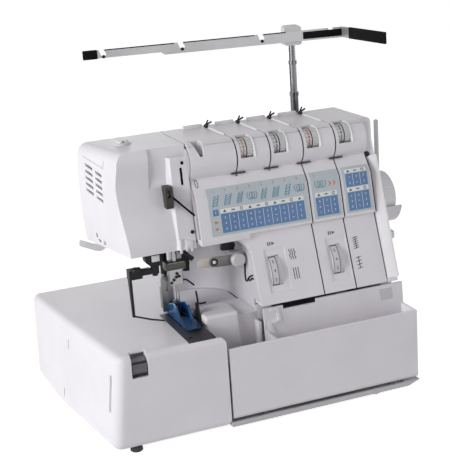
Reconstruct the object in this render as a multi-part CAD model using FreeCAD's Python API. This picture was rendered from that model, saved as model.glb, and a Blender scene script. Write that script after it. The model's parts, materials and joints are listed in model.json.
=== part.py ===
import FreeCAD, Part
import math
import os

# A household serger (overlock sewing machine) as a set of separate pieces, in millimetres.
# While the pieces are drawn, x runs right from the bed's front left corner, y runs back from
# the front of the machine and z runs up from the table top it stands on. When the pieces are
# written, the whole machine is shifted so that its origin is the middle of its footprint.

V = FreeCAD.Vector

# Fits and walls
wall = 2.6
seam = 0.3
running_fit = 0.05
clearance = 0.4
wide_clearance = 1.2
through = 500.0

# Stance: feet, base pan and bed
foot_height = 5.0
foot_radius = 9.0
foot_inset = 24.0
pan_floor = 3.0
skirt_height = 5.0
skirt_chamfer = 14.0
pan_right = 331.0
bed_top = 104.0
table_bottom = 6.0
table_depth = 245.0
table_flare = 32.0
table_front_right = 112.0
table_back_right = 164.0
table_edge_radius = 7.0
table_corner_radius = 10.0
table_belly = 12.0
table_belly_back = 2.0
table_bow = 0.8
table_knee_share = 0.6122
table_knee_radius = 600.0
table_rim = 20.0
table_foot_edge = 8.0
table_end_radius = 9.0
table_foot_radius = 6.5
table_foot_inset = (24.5, 10.0)
table_marks = ((125.0, 75.0, 85.0), (134.0, 18.0, 28.0))
table_mark_width = 1.6
pan_left = 26.0
pan_left_front = 24.0

# Latch on the table's front edge
latch_left = 12.5
latch_width = 17.0
latch_window_bottom = 80.0
latch_radius = 9.0
latch_axle_radius = 1.6
latch_axle_depth = 10.4
latch_axle_height = 89.0
latch_lug = 2.5

# Grip slit in the table's left face
grip_front = 13.0
grip_width = 5.0
grip_bottom = 44.0
grip_top = 82.0

# Needle, feed and foot
needle_x = 91.0
needle_y = 84.0
needle_pitch = 2.8
needle_radius = 0.55
needle_tip = 101.8
plate_left = 74.0
plate_right = 103.0
plate_front = 4.0
plate_back = 96.0
plate_thickness = 3.0
presser_bar_x = 85.0
presser_bar_y = 101.0
bar_radius = 3.5
clamp_bottom = 140.0
clamp_height = 24.0
clamp_width = 14.5
clamp_cap_width = 21.0
clamp_cap_height = 8.0
clamp_depth = 13.0
needle_bar_rise = 33.0
presser_bar_bottom = 122.0
presser_bar_top = 262.0
shank_gap = 8.7
shank_thickness = 2.3
shank_sides = (7.0, 5.5)
shank_top = 24.0
foot_sole_gap = 0.5
foot_sole = 2.6
foot_width = 16.0
foot_front = 30.0
foot_back = 108.0

# Arm, head and column
arm_top = 285.5
arm_front = 80.0
arm_back = 162.0
arm_underside = 184.0
head_drop = 4.0
head_right = 112.0
head_front_left = 39.0
head_back_left = 22.0
head_bulge = 4.0
column_left = 165.0
throat_radius = 14.0
throat_foot = 104.6
throat_depth = 156.5
throat_corner = 40.0
panel_right = 312.0
body_right = 326.0
corner_radius = 12.0
cheek_radius = 6.0

# Front panel section, as depth and height
shoulder_crown = (66.6, 265.0)
fold = (74.3, 249.2)
brow = (60.6, 232.0)
plate_foot = (51.6, arm_underside + 5.1)
panel_step = (55.8, arm_underside + 2.2)
panel_foot = (30.4, 115.7)
column_front = 48.0

# Head front section, as depth and height
head_brow = (76.8, 276.0)
head_fold = (80.0, 254.0)
head_waist = (73.4, 222.0)
head_chin_depth = 66.0
scoop_left = 70.0
scoop_depth = 3.0

# Thread slits, tension dials and thumb wheels
slit_places = (162.5, 199.6, 237.0, 274.5)
slit_width = 1.6
slit_back = 148.0
dial_offset = 4.4
dial_width = 14.0
dial_radius = 12.0
dial_proud = 0.5
dial_rise = 40.0
dial_window_bottom = 265.0
dial_teeth = 26
tension_shaft_radius = 2.5
rib_thickness = 2.4
wheel_radius = 30.0
wheel_width = 12.0
wheel_proud = 3.0
wheel_recess = 1.0
recess_left = 9.5
recess_right = 14.0
recess_rise = 21.5
wheel_height = 148.0
wheel_axle_radius = 2.0
wheel_teeth = 52
differential_wheel_x = 187.0
length_wheel_x = 258.0
wheel_lug = 3.0

# Printed guide plates on the panel
guide_plate_thickness = 0.8
guide_plate_margin = 5.0

# Looper cover and its tray
cover_left = 114.5
cover_right = 329.0
cover_bottom = 13.6
cover_top = 89.5
tray_left = 166.0
tray_floor = 52.0
tray_back_top = (30.0, 112.8)
tray_back_bottom = (26.0, 55.0)
cover_chamfer = 3.0
cover_edge = 2.0
cover_ribs = (122.0, 149.0, 161.0)
tray_grip_left = 188.0
tray_grip_right = 226.0
tray_grip_depth = 4.0
hinge_y = 6.0
hinge_z = 14.5
hinge_rod_radius = 1.6
hinge_boss_radius = 3.1
hinge_places = (150.0, 298.0)
hinge_length = 6.0
cover_slide_travel = 6.0

# Threading lever under the arm
lever_back = 72.0
lever_x = 155.4
lever_drop = 25.0
lever_thickness = 2.0
lever_stud_radius = 2.0
guide_lug_drop = 14.6
guide_pin_radius = 1.6
guide_reach = 29.0
guide_toe_rise = 3.0

# Raised block beside the needle
housing_left = 106.0
housing_right = 143.0
housing_front = 42.0
housing_back = 80.0
housing_top = 112.0
housing_bottom = 60.0
shelf_front = 46.0
shelf_top = 106.0
apron_return = 12.0
apron_step = 8.0
shelf_gap = 0.5
looper_shaft_radius = 2.0

# Thread plate and take-up lever on the head front
thread_plate_left = 89.5
thread_plate_right = 110.0
thread_plate_top = (73.5, 275.0)
thread_plate_foot = (62.5, 178.0)
thread_plate_slant = (2.5, 3.0)
panel_end_depth = 76.0
take_up_left = 81.4
take_up_front = 62.0
take_up_depth = 8.2
take_up_lean = 4.6
take_up_bottom = 226.0
take_up_height = 22.0

# Vents in the left of the head, as front and back ends of two columns of slots
vent_spans = ((109.0, 123.0), (129.0, 145.0))
vent_rows = 5
vent_top = 257.0
vent_pitch = 6.65
vent_width = 3.0
vent_slope = 0.2

# Drive
shaft_y = 118.0
shaft_z = 187.0
shaft_radius = 5.0
handwheel_radius = 27.0
handwheel_gap = 17.0
handwheel_width = 18.0
handwheel_scallops = 24
shroud_gap = 1.4
shroud_reach = 3.0
shroud_lip = 180.0
frame_left = 190.0
frame_right = 300.0
frame_upright = 12.0
frame_front = 108.0
frame_back = 128.0
frame_beam_bottom = 225.0
frame_beam_top = 262.0
frame_beam_left = 50.0
frame_window_bottom = 14.0
frame_window_top = 205.0
motor_radius = 30.0
motor_length = 70.0
motor_left = 208.0
motor_z = 76.0
pulley_left = 304.0
pulley_width = 6.0
drive_pulley_radius = 24.0
motor_pulley_radius = 10.0
belt_thickness = 1.8
motor_shaft_radius = 3.0

# Thread stand
stand_left = 112.0
stand_right = 404.0
stand_front = 171.0
stand_back = 229.0
stand_bottom = 114.0
stand_thickness = 8.0
pin_count = 5
pin_right = 395.0
pin_pitch = 68.0
pin_y = 200.0
pin_radius = 2.8
pin_top = 256.0
pole_x = 290.0
pole_y = 200.0
pole_radii = (4.8, 4.2, 3.7)
pole_bore_gap = 0.05
pole_joints = (302.0, 338.0)
pole_top = 362.0
guide_bar_left = 51.0
guide_bar_step = 137.0
guide_bar_bend = 349.0
guide_bar_end_length = 92.0
guide_bar_end_angle = 80.0
guide_bar_lean = 7.4
guide_bar_height = 12.0
guide_bar_thickness = 1.5
guide_bar_bottom = 360.0
guide_hooks = (68.0, 156.0, 248.0, 331.0)
guide_end_hook = 68.0
bracket_width = 20.0
bracket_height = 16.0


# Drawing helpers

def box(x0, x1, y0, y1, z0, z1):
    return Part.makeBox(x1 - x0, y1 - y0, z1 - z0, V(x0, y0, z0))


def rod_x(x0, x1, y, z, radius):
    return Part.makeCylinder(radius, x1 - x0, V(x0, y, z), V(1, 0, 0))


def rod_y(y0, y1, x, z, radius):
    return Part.makeCylinder(radius, y1 - y0, V(x, y0, z), V(0, 1, 0))


def rod_z(z0, z1, x, y, radius):
    return Part.makeCylinder(radius, z1 - z0, V(x, y, z0), V(0, 0, 1))


def rod_between(start, end, radius):
    return Part.makeCylinder(radius, (end - start).Length, start, end - start)


def unit(vector):
    return vector * (1.0 / vector.Length)


def rounded_wire(points, place):
    """Closed wire through corners (u, v) or (u, v, radius); place turns u, v into a point."""
    entries, middles, exits = [], [], []
    for index, corner in enumerate(points):
        here = V(corner[0], corner[1], 0)
        before = points[index - 1]
        after = points[(index + 1) % len(points)]
        back = unit(V(before[0], before[1], 0) - here)
        ahead = unit(V(after[0], after[1], 0) - here)
        radius = corner[2] if len(corner) > 2 else 0.0
        if radius:
            half = back.getAngle(ahead) / 2
            reach = radius / math.tan(half)
            centre = here + unit(back + ahead) * (radius / math.sin(half))
            entries.append(here + back * reach)
            exits.append(here + ahead * reach)
            middles.append(centre + unit(here - centre) * radius)
        else:
            entries.append(here)
            exits.append(here)
            middles.append(None)
    edges = []
    for index, middle in enumerate(middles):
        start, end = exits[index - 1], entries[index]
        if (end - start).Length > 1e-6:
            edges.append(Part.LineSegment(place(start), place(end)).toShape())
        if middle is not None:
            arc = Part.Arc(place(entries[index]), place(middle), place(exits[index]))
            edges.append(arc.toShape())
    return Part.Wire(edges)


def plate_x(points, x0, x1):
    """Section drawn as depth and height, run along x."""
    wire = rounded_wire(points, lambda p: V(x0, p.x, p.y))
    return Part.Face(wire).extrude(V(x1 - x0, 0, 0))


def plate_y(points, y0, y1):
    """Section drawn as x and height, run along y."""
    wire = rounded_wire(points, lambda p: V(p.x, y0, p.y))
    return Part.Face(wire).extrude(V(0, y1 - y0, 0))


def plate_z(points, z0, z1):
    """Section drawn as x and depth, run along z."""
    wire = rounded_wire(points, lambda p: V(p.x, p.y, z0))
    return Part.Face(wire).extrude(V(0, 0, z1 - z0))


def turned(profile, base, axis):
    """Solid of revolution; profile gives (distance along axis, radius) pairs."""
    points = [V(radius, 0, along) for along, radius in profile]
    points.append(points[0])
    face = Part.Face(Part.makePolygon(points))
    solid = face.revolve(V(0, 0, 0), V(0, 0, 1), 360)
    solid.Placement = FreeCAD.Placement(base, FreeCAD.Rotation(V(0, 0, 1), axis))
    return solid


def toothed_drum(x0, x1, y, z, radius, depth, count):
    """Drum along x with even V grooves round its rim."""
    points = []
    for index in range(2 * count):
        reach = radius - (depth if index % 2 else 0.0)
        angle = math.pi * index / count
        points.append(V(x0, y + reach * math.cos(angle), z + reach * math.sin(angle)))
    points.append(points[0])
    return Part.Face(Part.makePolygon(points)).extrude(V(x1 - x0, 0, 0))


def rounded_edges(solid, radius, wanted):
    edges = [edge for edge in solid.Edges if wanted(edge)]
    return solid.makeFillet(radius, edges) if edges else solid


def runs_along(edge, direction):
    if edge.Degenerated:
        return False
    return isinstance(edge.Curve, (Part.Line, Part.LineSegment)) and (
        abs(abs(unit(edge.tangentAt(edge.FirstParameter)).dot(direction)) - 1.0) < 1e-6)


def joined(solids):
    first = solids[0]
    return first.fuse(list(solids[1:])).removeSplitter()


def group(solids):
    return Part.makeCompound(list(solids))


# Places that several pieces share

def head_underside():
    return arm_underside - head_drop


def handwheel_inner():
    return body_right + handwheel_gap


def handwheel_outer():
    return handwheel_inner() + handwheel_width


def shroud_outer():
    return handwheel_outer() + shroud_reach


def panel_depth(height):
    """Depth of the lower front panel's outer face at a height."""
    share = (height - panel_foot[1]) / (panel_step[1] - panel_foot[1])
    return panel_foot[0] + share * (panel_step[0] - panel_foot[0])


def panel_normal():
    """Outward direction of the lower front panel, as depth and height."""
    along = V(0, panel_step[0] - panel_foot[0], panel_step[1] - panel_foot[1])
    along = unit(along)
    return V(0, -along.z, along.y)


def wheel_axis():
    """Depth and height of the axis of the two thumb wheels behind the lower panel."""
    normal = panel_normal()
    inward = wheel_radius - wheel_proud
    return panel_depth(wheel_height) - normal.y * inward, wheel_height - normal.z * inward


def dial_axis():
    """Depth and height of the tension dials' axis, so that the drums stand just proud."""
    centre, radius = shoulder_circle()
    reach = radius + dial_proud - dial_radius
    rise = math.radians(dial_rise)
    return centre.x - reach * math.cos(rise), centre.y + reach * math.sin(rise)


def dial_left(index):
    return slit_places[index] + dial_offset


def stand_top():
    return stand_bottom + stand_thickness


def pan_bottom():
    return foot_height


def skirt_top():
    return foot_height + skirt_height


def shoulder_circle():
    """Middle and radius of the round shoulder, from its two ends and its crown."""
    circle = Part.Circle(V(arm_front, arm_top, 0), V(shoulder_crown[0], shoulder_crown[1], 0),
                         V(fold[0], fold[1], 0))
    return circle.Center, circle.Radius


def crossing(first, second):
    """Point where two lines meet; each line is a point and a direction."""
    across = first[1].x * second[1].y - first[1].y * second[1].x
    apart = second[0] - first[0]
    return first[0] + first[1] * ((apart.x * second[1].y - apart.y * second[1].x) / across)


def circle_meeting(line, radius, near):
    """Point where a line meets the circle round the shoulder's middle, nearest to a point."""
    centre, _ = shoulder_circle()
    foot = line[0] + line[1] * (centre - line[0]).dot(line[1])
    half = math.sqrt(radius ** 2 - (foot - centre).Length ** 2)
    ends = (foot + line[1] * half, foot - line[1] * half)
    return min(ends, key=lambda p: (p - V(near[0], near[1], 0)).Length)


def section_face(x, lower, inset):
    """Section of the arm or the column on the plane at x, moved inward by inset."""
    corners = [fold, brow, plate_foot] + lower + [(arm_back, lower[-1][1]), (arm_back, arm_top),
                                                  (arm_front, arm_top)]
    lines = []
    for start, end in zip(corners, corners[1:]):
        along = unit(V(end[0] - start[0], end[1] - start[1], 0))
        lines.append((V(start[0], start[1], 0) + V(-along.y, along.x, 0) * inset, along))
    centre, radius = shoulder_circle()
    crown = V(shoulder_crown[0], shoulder_crown[1], 0)
    points = [circle_meeting(lines[0], radius - inset, fold)]
    points += [crossing(one, two) for one, two in zip(lines, lines[1:])]
    points.append(circle_meeting(lines[-1], radius - inset, (arm_front, arm_top)))
    middle = centre + unit(crown - centre) * (radius - inset)

    def at(point):
        return V(x, point.x, point.y)
    edges = [Part.Arc(at(points[-1]), at(middle), at(points[0])).toShape()]
    for start, end in zip(points, points[1:]):
        edges.append(Part.LineSegment(at(start), at(end)).toShape())
    return Part.Face(Part.Wire(edges))


def arm_section(x, inset=0.0):
    return section_face(x, [(plate_foot[0], arm_underside)], inset)


def column_section(x, inset=0.0):
    return section_face(x, [panel_step, panel_foot, (column_front, panel_foot[1]),
                            (column_front, skirt_top())], inset)


def wall_ring(section, x0, x1):
    """Moulded wall of even thickness that follows a section, run from x0 to x1."""
    return section(x0).cut(section(x0, wall)).extrude(V(x1 - x0, 0, 0))


def deck_bottom():
    return arm_top - wall


# Base and bed

def base_pan():
    front = cover_left - 2
    right = plate_y([(front, pan_bottom()), (pan_right - skirt_chamfer, pan_bottom()),
                     (pan_right, skirt_top()), (front, skirt_top())], 0, arm_back)
    left = box(pan_left, table_back_right, pan_left_front, table_depth - pan_left_front,
               pan_bottom(), skirt_top())
    hollow_right = box(cover_left, pan_right - skirt_chamfer - wall, wall, arm_back - wall,
                       pan_bottom() + pan_floor, through)
    hollow_left = box(pan_left + wall, table_back_right - wall, pan_left_front + wall,
                      table_depth - pan_left_front - wall, pan_bottom() + pan_floor, through)
    return joined([right, left]).cut([hollow_right, hollow_left])


def foot_places():
    half = foot_inset / 2
    back = table_depth - pan_left_front - half
    right = pan_right - 2 * foot_inset
    return [(pan_left + half, pan_left_front + half), (pan_left + half, back),
            (right, 16), (right, arm_back - half), (table_back_right - half, back)]


def rubber_feet():
    profile = [(0, 0), (0, foot_radius - 1.5), (1.5, foot_radius), (foot_height, foot_radius - 1),
               (foot_height, 0)]
    return group(turned(profile, V(x, y, 0), V(0, 0, 1)) for x, y in foot_places())


def table_feet():
    """Two small feet under the rim of the sliding table."""
    radius = table_foot_radius
    profile = [(0, 0), (0, radius - 1), (1, radius), (table_bottom, radius - 0.8), (table_bottom, 0)]
    x, y = table_foot_inset
    places = ((x - table_belly, y), (x - table_flare - table_belly_back, table_depth - y))
    return group(turned(profile, V(left, depth, 0), V(0, 0, 1)) for left, depth in places)


def table_outline(share, inset):
    """Plan of the table, moved inward; share runs from 0 at its top to 1 at its foot."""
    lean = table_flare / table_depth
    belly = table_belly * share
    corner = max(table_corner_radius - inset, 1.0)
    right = table_back_right + (1 if inset else 0)
    knee = table_knee_share * table_depth
    return [(inset * (1 - lean) - belly, inset, corner), (right, inset), (right, table_depth - inset),
            (inset * (1 + lean) - table_flare - table_belly_back * share, table_depth - inset, corner),
            (inset - lean * knee - table_bow - belly, knee, table_knee_radius)]


def table_solid(inset):
    """Block with a bellied left face and round edges, moved inward by inset."""
    wires = []
    for share, height in ((1.0, table_bottom + inset), (0.0, bed_top - inset)):
        wires.append(rounded_wire(table_outline(share, inset), lambda p: V(p.x, p.y, height)))
    solid = Part.makeLoft(wires, True, True)

    def rim(level):
        return lambda e: (abs(e.CenterOfMass.z - level) < 1e-3
                          and e.CenterOfMass.x < table_back_right - 1)
    solid = rounded_edges(solid, table_edge_radius - inset, rim(bed_top - inset))
    if not inset:
        solid = rounded_edges(solid, table_foot_edge, rim(table_bottom))
    return solid


def extension_table():
    rim_hole = plate_z(table_outline(1.0, table_rim), table_bottom - 1, table_bottom + wall + 1)
    shell = table_solid(0.0).cut([table_solid(wall), rim_hole])
    beside_plate = box(plate_left - clearance, through, plate_front - clearance,
                       plate_back + clearance, bed_top - wall - 1, bed_top + 1)
    kept = plate_y([(0, table_bottom), (table_front_right, table_bottom, table_end_radius),
                    (table_front_right, bed_top, table_end_radius), (0, bed_top)], -2, plate_back + 2)
    front_end = box(plate_left - 10, through, -1, plate_back + clearance, 0, bed_top + 1).cut(kept)
    latch_window = box(latch_left, latch_left + latch_width, -1, latch_axle_depth + 1.5,
                       latch_window_bottom, bed_top + 1)
    reach = table_flare + table_belly
    grip = box(-reach, wall + 2, grip_front, grip_front + grip_width, grip_bottom, grip_top)
    behind = box(-reach, grip_front, grip_front - 2, grip_front + grip_width + 2, grip_bottom - 2,
                 grip_top + 2)
    grip_floor = behind.common(table_solid(wall - seam)).cut(table_solid(2 * wall))
    marks = [box(-2 * reach, 0, y, y + table_mark_width, z0, z1) for y, z0, z1 in table_marks]
    lugs = []
    for left in (latch_left - latch_lug, latch_left + latch_width):
        lug = box(left, left + latch_lug, wall - 0.5, latch_axle_depth + 3.5,
                  latch_axle_height - 4, bed_top - wall + 0.5)
        lugs.append(lug)
    bore = rod_x(latch_left - latch_lug - 1, latch_left + latch_width + latch_lug + 1,
                 latch_axle_depth, latch_axle_height, latch_axle_radius + running_fit)
    shell = shell.cut([beside_plate, front_end, latch_window, grip] + marks)
    return joined([shell, grip_floor] + lugs).cut(bore)


def table_latch():
    left = latch_left + clearance
    right = latch_left + latch_width - clearance
    drum = toothed_drum(left, right, latch_axle_depth, latch_axle_height, latch_radius, 0.5, 36)
    drum = drum.cut(box(left - 1, right + 1, latch_axle_depth + 1.0, through, 0, through))
    axle = rod_x(latch_left - latch_lug + 0.2, latch_left + latch_width + latch_lug - 0.2,
                 latch_axle_depth, latch_axle_height, latch_axle_radius)
    hub = rod_x(left, right, latch_axle_depth, latch_axle_height, latch_axle_radius + 1.2)
    return joined([drum, hub, axle])


def bed_support():
    top = bed_top - plate_thickness
    floor = pan_bottom() + pan_floor
    left, back = plate_left - 10, plate_back - 1
    deck = box(left, plate_right + clearance, plate_front + 2, back, top - 3, top)
    foot_wall = box(left, left + 4, pan_left_front + wall + clearance, back, floor, top)
    rear_wall = box(left, column_left + 12, back - 3, back, floor, top - 1)
    window = box(plate_left + 3, plate_right - 3, 46, back - 3, top - 10, top + 1)
    bracket = box(housing_right - 9, housing_right - 1, housing_back, back - 2, housing_bottom + 4, top - 1)
    axle = rod_y(needle_y - 24, back - 2, looper_x(), looper_z(), looper_shaft_radius)
    return joined([deck, foot_wall, rear_wall, axle, bracket]).cut(window)


def dog_slots():
    """Left edges and spans of the feed slots: front (differential) and rear (main)."""
    lefts = (needle_x - 9.0, needle_x + 4.6)
    return lefts, (50.0, 76.0), (80.0, 92.0)


def needle_plate():
    top = bed_top
    bottom = bed_top - plate_thickness
    plate = plate_z([(plate_left, plate_front, 2), (plate_right, plate_front, 2),
                     (plate_right, plate_back, 2), (plate_left, plate_back, 2)], bottom, top)
    lefts, front_span, rear_span = dog_slots()
    cuts = [box(left, left + 4.4, span[0], span[1], bottom - 1, top + 1)
            for left in lefts for span in (front_span, rear_span)]
    cuts.append(box(needle_x - 3.8, needle_x + 3.8, needle_y - 1.6, needle_y + 1.6, bottom - 1, top + 1))
    cuts.append(rod_z(bottom - 1, top + 1, plate_left + 6, plate_front + 12, 2.2))
    return plate.cut(cuts)


def toothed_bar(left, y0, y1, top, bottom, width):
    count = int((y1 - y0) // 1.6)
    points = [(y0, bottom), (y0, top - 0.7)]
    for index in range(count):
        start = y0 + index * (y1 - y0) / count
        points.append((start + (y1 - y0) / count, top))
        points.append((start + (y1 - y0) / count, top - 0.7))
    points.append((y1, bottom))
    return plate_x(points, left, left + width)


def feed_rows(span, carrier_bottom):
    lefts, _, _ = dog_slots()
    travel = 2.4
    bars = [toothed_bar(left + 0.5, span[0] + travel, span[1] - travel, bed_top - 0.2,
                        carrier_bottom, 3.4) for left in lefts]
    base = box(lefts[0] + 0.5, lefts[1] + 3.9, span[0] + travel, span[1] - travel,
               carrier_bottom, carrier_bottom + 3)
    return bars, base


def feed_dog():
    _, _, rear_span = dog_slots()
    bars, base = feed_rows(rear_span, bed_top - plate_thickness - 9)
    slot = box(needle_x - 3.7, needle_x + 3.7, needle_y - 4, needle_y + 2.4, 0, through)
    return joined([base.cut(slot)] + bars)


def differential_feed_dog():
    _, front_span, _ = dog_slots()
    bars, base = feed_rows(front_span, bed_top - plate_thickness - 9)
    return joined([base] + bars)


def looper_housing():
    outer = plate_x([(housing_front - 6, housing_bottom), (housing_front, housing_top, 4),
                     (housing_back, housing_top, 4), (housing_back, housing_bottom)],
                    housing_left, housing_right)
    outer = rounded_edges(outer, 3.0, lambda e: runs_along(e, V(0, 1, 0))
                          and abs(e.CenterOfMass.z - housing_top) < 0.1)
    top, back = housing_top - wall, housing_back - wall
    inner = plate_x([(housing_front - 3.4, housing_bottom - 1), (housing_front + wall, top),
                     (back, top), (back, housing_bottom - 1)],
                    housing_left + wall, housing_right - wall)
    looper_way = box(housing_left - 1, housing_left + wall + 1, housing_front + 16, housing_back + 1,
                     housing_bottom - 1, bed_top - plate_thickness)
    left, right = housing_right - 0.5, column_left - shelf_gap
    shelf = box(left, right, shelf_front, plate_back - 2, shelf_top - wall, shelf_top)
    apron = box(left, right, shelf_front, shelf_front + wall, housing_bottom, shelf_top)
    cheek = box(right - wall, right, shelf_front - apron_return, shelf_front + 1, housing_bottom,
                shelf_top - apron_step)
    return joined([outer.cut([inner, looper_way]), shelf, apron, cheek])


def upper_knife():
    left = plate_right + 0.8
    blade = plate_x([(52, 99), (64, 99), (64, 122), (56, 122), (52, 104)], left, left + 1.4)
    return blade


def looper_arm(y0, tip_rise, reach, shaft_x, shaft_height):
    """Bent looper bar with a round hub on a cross shaft."""
    hub = rod_y(y0, y0 + 3, shaft_x, shaft_height, 5.0)
    bore = rod_y(y0 - 1, y0 + 4, shaft_x, shaft_height, looper_shaft_radius + running_fit)
    arm = plate_y([(shaft_x - 3, shaft_height), (shaft_x + 3, shaft_height),
                   (shaft_x + 2, shaft_height + tip_rise - 3, 2),
                   (shaft_x - reach, shaft_height + tip_rise),
                   (shaft_x - reach + 2, shaft_height + tip_rise - 3),
                   (shaft_x - 3, shaft_height + tip_rise - 7, 3)], y0, y0 + 3)
    return joined([hub, arm]).cut(bore)


def lower_looper():
    return looper_arm(needle_y + 1, 44.0, 24.0, looper_x(), looper_z())


def upper_looper():
    return looper_arm(needle_y - 18, 38.0, 16.0, looper_x(), looper_z())


def looper_x():
    return 118.0


def looper_z():
    return 40.0


# Looper cover

def looper_cover():
    front = plate_x([(0, cover_bottom + cover_chamfer), (0, cover_top, cover_edge / 2), (wall, cover_top),
                     (wall, cover_bottom), (cover_chamfer / 2, cover_bottom)], cover_left, cover_right)
    back_rise = tray_back_top[0] - tray_back_bottom[0]
    tray = plate_x([(wall - 0.2, tray_floor), (tray_back_bottom[0] + wall, tray_floor, 3),
                    (tray_back_top[0] + wall, tray_back_top[1]), tray_back_top,
                    (tray_back_bottom[0], tray_back_bottom[1], 2), (wall - 0.2, tray_back_bottom[1])],
                   tray_left, cover_right)
    end_points = [(wall - 0.2, tray_floor), (tray_back_bottom[0] + 1, tray_floor),
                  (tray_back_bottom[0] + 1 + 0.5 * back_rise, cover_top - 0.5),
                  (wall - 0.2, cover_top - 0.5)]
    left_end = plate_x(end_points, tray_left, tray_left + wall)
    right_end = plate_x([(0.5, cover_bottom + 4), (tray_back_bottom[0], cover_bottom + 4),
                         (tray_back_bottom[0] + 1 + 0.5 * back_rise, cover_top),
                         (0.5, cover_top)], cover_right - wall, cover_right)
    grip = box(tray_grip_left, tray_grip_right, tray_back_bottom[0], tray_back_top[0] + wall + 1,
               tray_back_top[1] - tray_grip_depth, through)
    ribs = [plate_x([(wall - 0.2, 30), (wall + 8, 60), (wall - 0.2, cover_top - 6)], x, x + 1.6)
            for x in cover_ribs]
    bosses = []
    for x in hinge_places:
        left = x + hinge_length + wide_clearance
        bosses.append(rod_x(left, left + hinge_length, hinge_y, hinge_z, hinge_boss_radius))
        bosses.append(box(left, left + hinge_length, wall - 0.2, hinge_y, hinge_z - 1.4, hinge_z + 2.4))
    cover = joined([front, tray, left_end, right_end] + ribs + bosses)
    bore = rod_x(cover_left, cover_right - 4, hinge_y, hinge_z, hinge_rod_radius + running_fit)
    return cover.cut([grip, bore])


def cover_hinge_rod():
    left = hinge_places[0] - 4
    right = hinge_places[-1] + 2 * hinge_length + wide_clearance + 4
    return rod_x(left, right, hinge_y, hinge_z, hinge_rod_radius)


def cover_hinges():
    floor = pan_bottom() + pan_floor
    lugs = []
    for x in hinge_places:
        ring = rod_x(x, x + hinge_length, hinge_y, hinge_z, hinge_boss_radius)
        post = box(x, x + hinge_length, hinge_y + 0.5, hinge_y + 4.5, floor, hinge_z + 1)
        bore = rod_x(x - 1, x + hinge_length + 1, hinge_y, hinge_z, hinge_rod_radius + running_fit)
        lugs.append(joined([ring, post]).cut(bore))
    return group(lugs)


# Head, arm and column covers

def head_section(inset):
    """Head section on the plane of its right end, moved inward by inset."""
    def at(point):
        return V(0, point[0] + inset, point[1])
    top, bottom, back = arm_top - inset, head_underside() + inset, arm_back - inset
    front = Part.BSplineCurve()
    front.interpolate([at((arm_front - 1, top)), at(head_brow), at(head_fold), at(head_waist),
                       at((head_chin_depth, bottom))])
    corners = [V(0, head_chin_depth + inset, bottom), V(0, back, bottom), V(0, back, top),
               V(0, arm_front - 1 + inset, top)]
    edges = [front.toShape()]
    for start, end in zip(corners, corners[1:]):
        edges.append(Part.LineSegment(start, end).toShape())
    return Part.Face(Part.Wire(edges))


def head_side(inset):
    """Region right of the bulged, flared left face of the head."""
    slope = (head_back_left - head_front_left) / (arm_back - arm_front)
    middle = 0.5 * (arm_top + head_underside())
    y0, y1 = 0.0, arm_back + 40
    def at(y, z, out):
        return V(head_front_left + slope * (y - arm_front) + inset - out, y, z)
    wires = []
    for y in (y0, y1):
        arc = Part.Arc(at(y, head_underside() - 10, 0), at(y, middle, head_bulge), at(y, arm_top + 10, 0))
        far = [at(y, arm_top + 10, 0), V(through, y, arm_top + 10), V(through, y, head_underside() - 10),
               at(y, head_underside() - 10, 0)]
        edges = [arc.toShape()]
        for start, end in zip(far, far[1:]):
            edges.append(Part.LineSegment(start, end).toShape())
        wires.append(Part.Wire(edges))
    return Part.makeLoft(wires, True, True)


def head_solid(inset):
    block = head_section(inset).extrude(V(head_right, 0, 0))
    solid = block.common(head_side(inset))
    radius = corner_radius - inset
    edges = [e for e in solid.Edges if abs(e.CenterOfMass.z - arm_top + inset) < 0.01
             and e.CenterOfMass.x < head_front_left + 4]
    return solid.makeFillet(radius, edges)


def head_scoop(inset):
    """Space in front of the hollow beside the thread plate, its walls moved inward by inset."""
    def at(point, depth):
        return V(scoop_left - inset, point[0] + depth + inset, point[1])
    top = (arm_front - 1, arm_top)
    fade = (0.5 * (head_fold[0] + head_waist[0]), 0.5 * (head_fold[1] + head_waist[1]))
    curve = Part.BSplineCurve()
    curve.interpolate([at(top, scoop_depth), at(head_brow, scoop_depth), at(head_fold, 0.7 * scoop_depth),
                       at(fade, 0.2 * scoop_depth), at(head_waist, -1.0)])
    ends = (at(head_waist, -1.0), at((0, head_waist[1]), -inset), at((0, arm_top), -inset),
            at(top, scoop_depth))
    edges = [curve.toShape()]
    for start, end in zip(ends, ends[1:]):
        edges.append(Part.LineSegment(start, end).toShape())
    return Part.Face(Part.Wire(edges)).extrude(V(head_right - scoop_left + 20, 0, 0))


def scooped_head(inset):
    return head_solid(inset).cut(head_scoop(inset))


def vent_slots():
    slots = []
    for front, back in vent_spans:
        for row in range(vent_rows):
            low = vent_top - vent_pitch * row + vent_slope * (front - vent_spans[0][0])
            high = low + vent_slope * (back - front)
            slots.append(plate_x([(front, low), (back, high), (back, high + vent_width),
                                  (front, low + vent_width)], 0, head_front_left))
    return slots


def head_cover():
    shell = scooped_head(0.0).cut(scooped_head(wall))
    shell = shell.cut(box(head_right - 1, through, 0, through, 0, through))
    bars = box(needle_x - 16, head_right, needle_y - 12, presser_bar_y + 12, 0, head_underside() + wall + 1)
    knob = rod_z(arm_top - 10, arm_top + 10, knob_place()[0], knob_place()[1], knob_radius() + clearance)
    lever = rod_y(arm_back - 10, arm_back + 1, lever_pivot()[0], lever_pivot()[1], 2.0 + running_fit)
    return shell.cut(vent_slots() + [bars, knob, lever])


def knob_place():
    return 58.5, 122.5


def knob_radius():
    return 8.5


def pressure_knob():
    x, y = knob_place()
    drum = turned([(0, 0), (0, knob_radius()), (7, knob_radius()), (8.2, knob_radius() - 1.2), (8.2, 0)],
                  V(x, y, arm_top - 6), V(0, 0, 1))
    slot = box(x - 1, x + 1, y - 5, y + 5, arm_top + 1.2, arm_top + 5)
    stem = rod_z(frame_beam_top + 0.4, arm_top - 6, x, y, 3.0)
    return joined([drum.cut(slot), stem])


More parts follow.
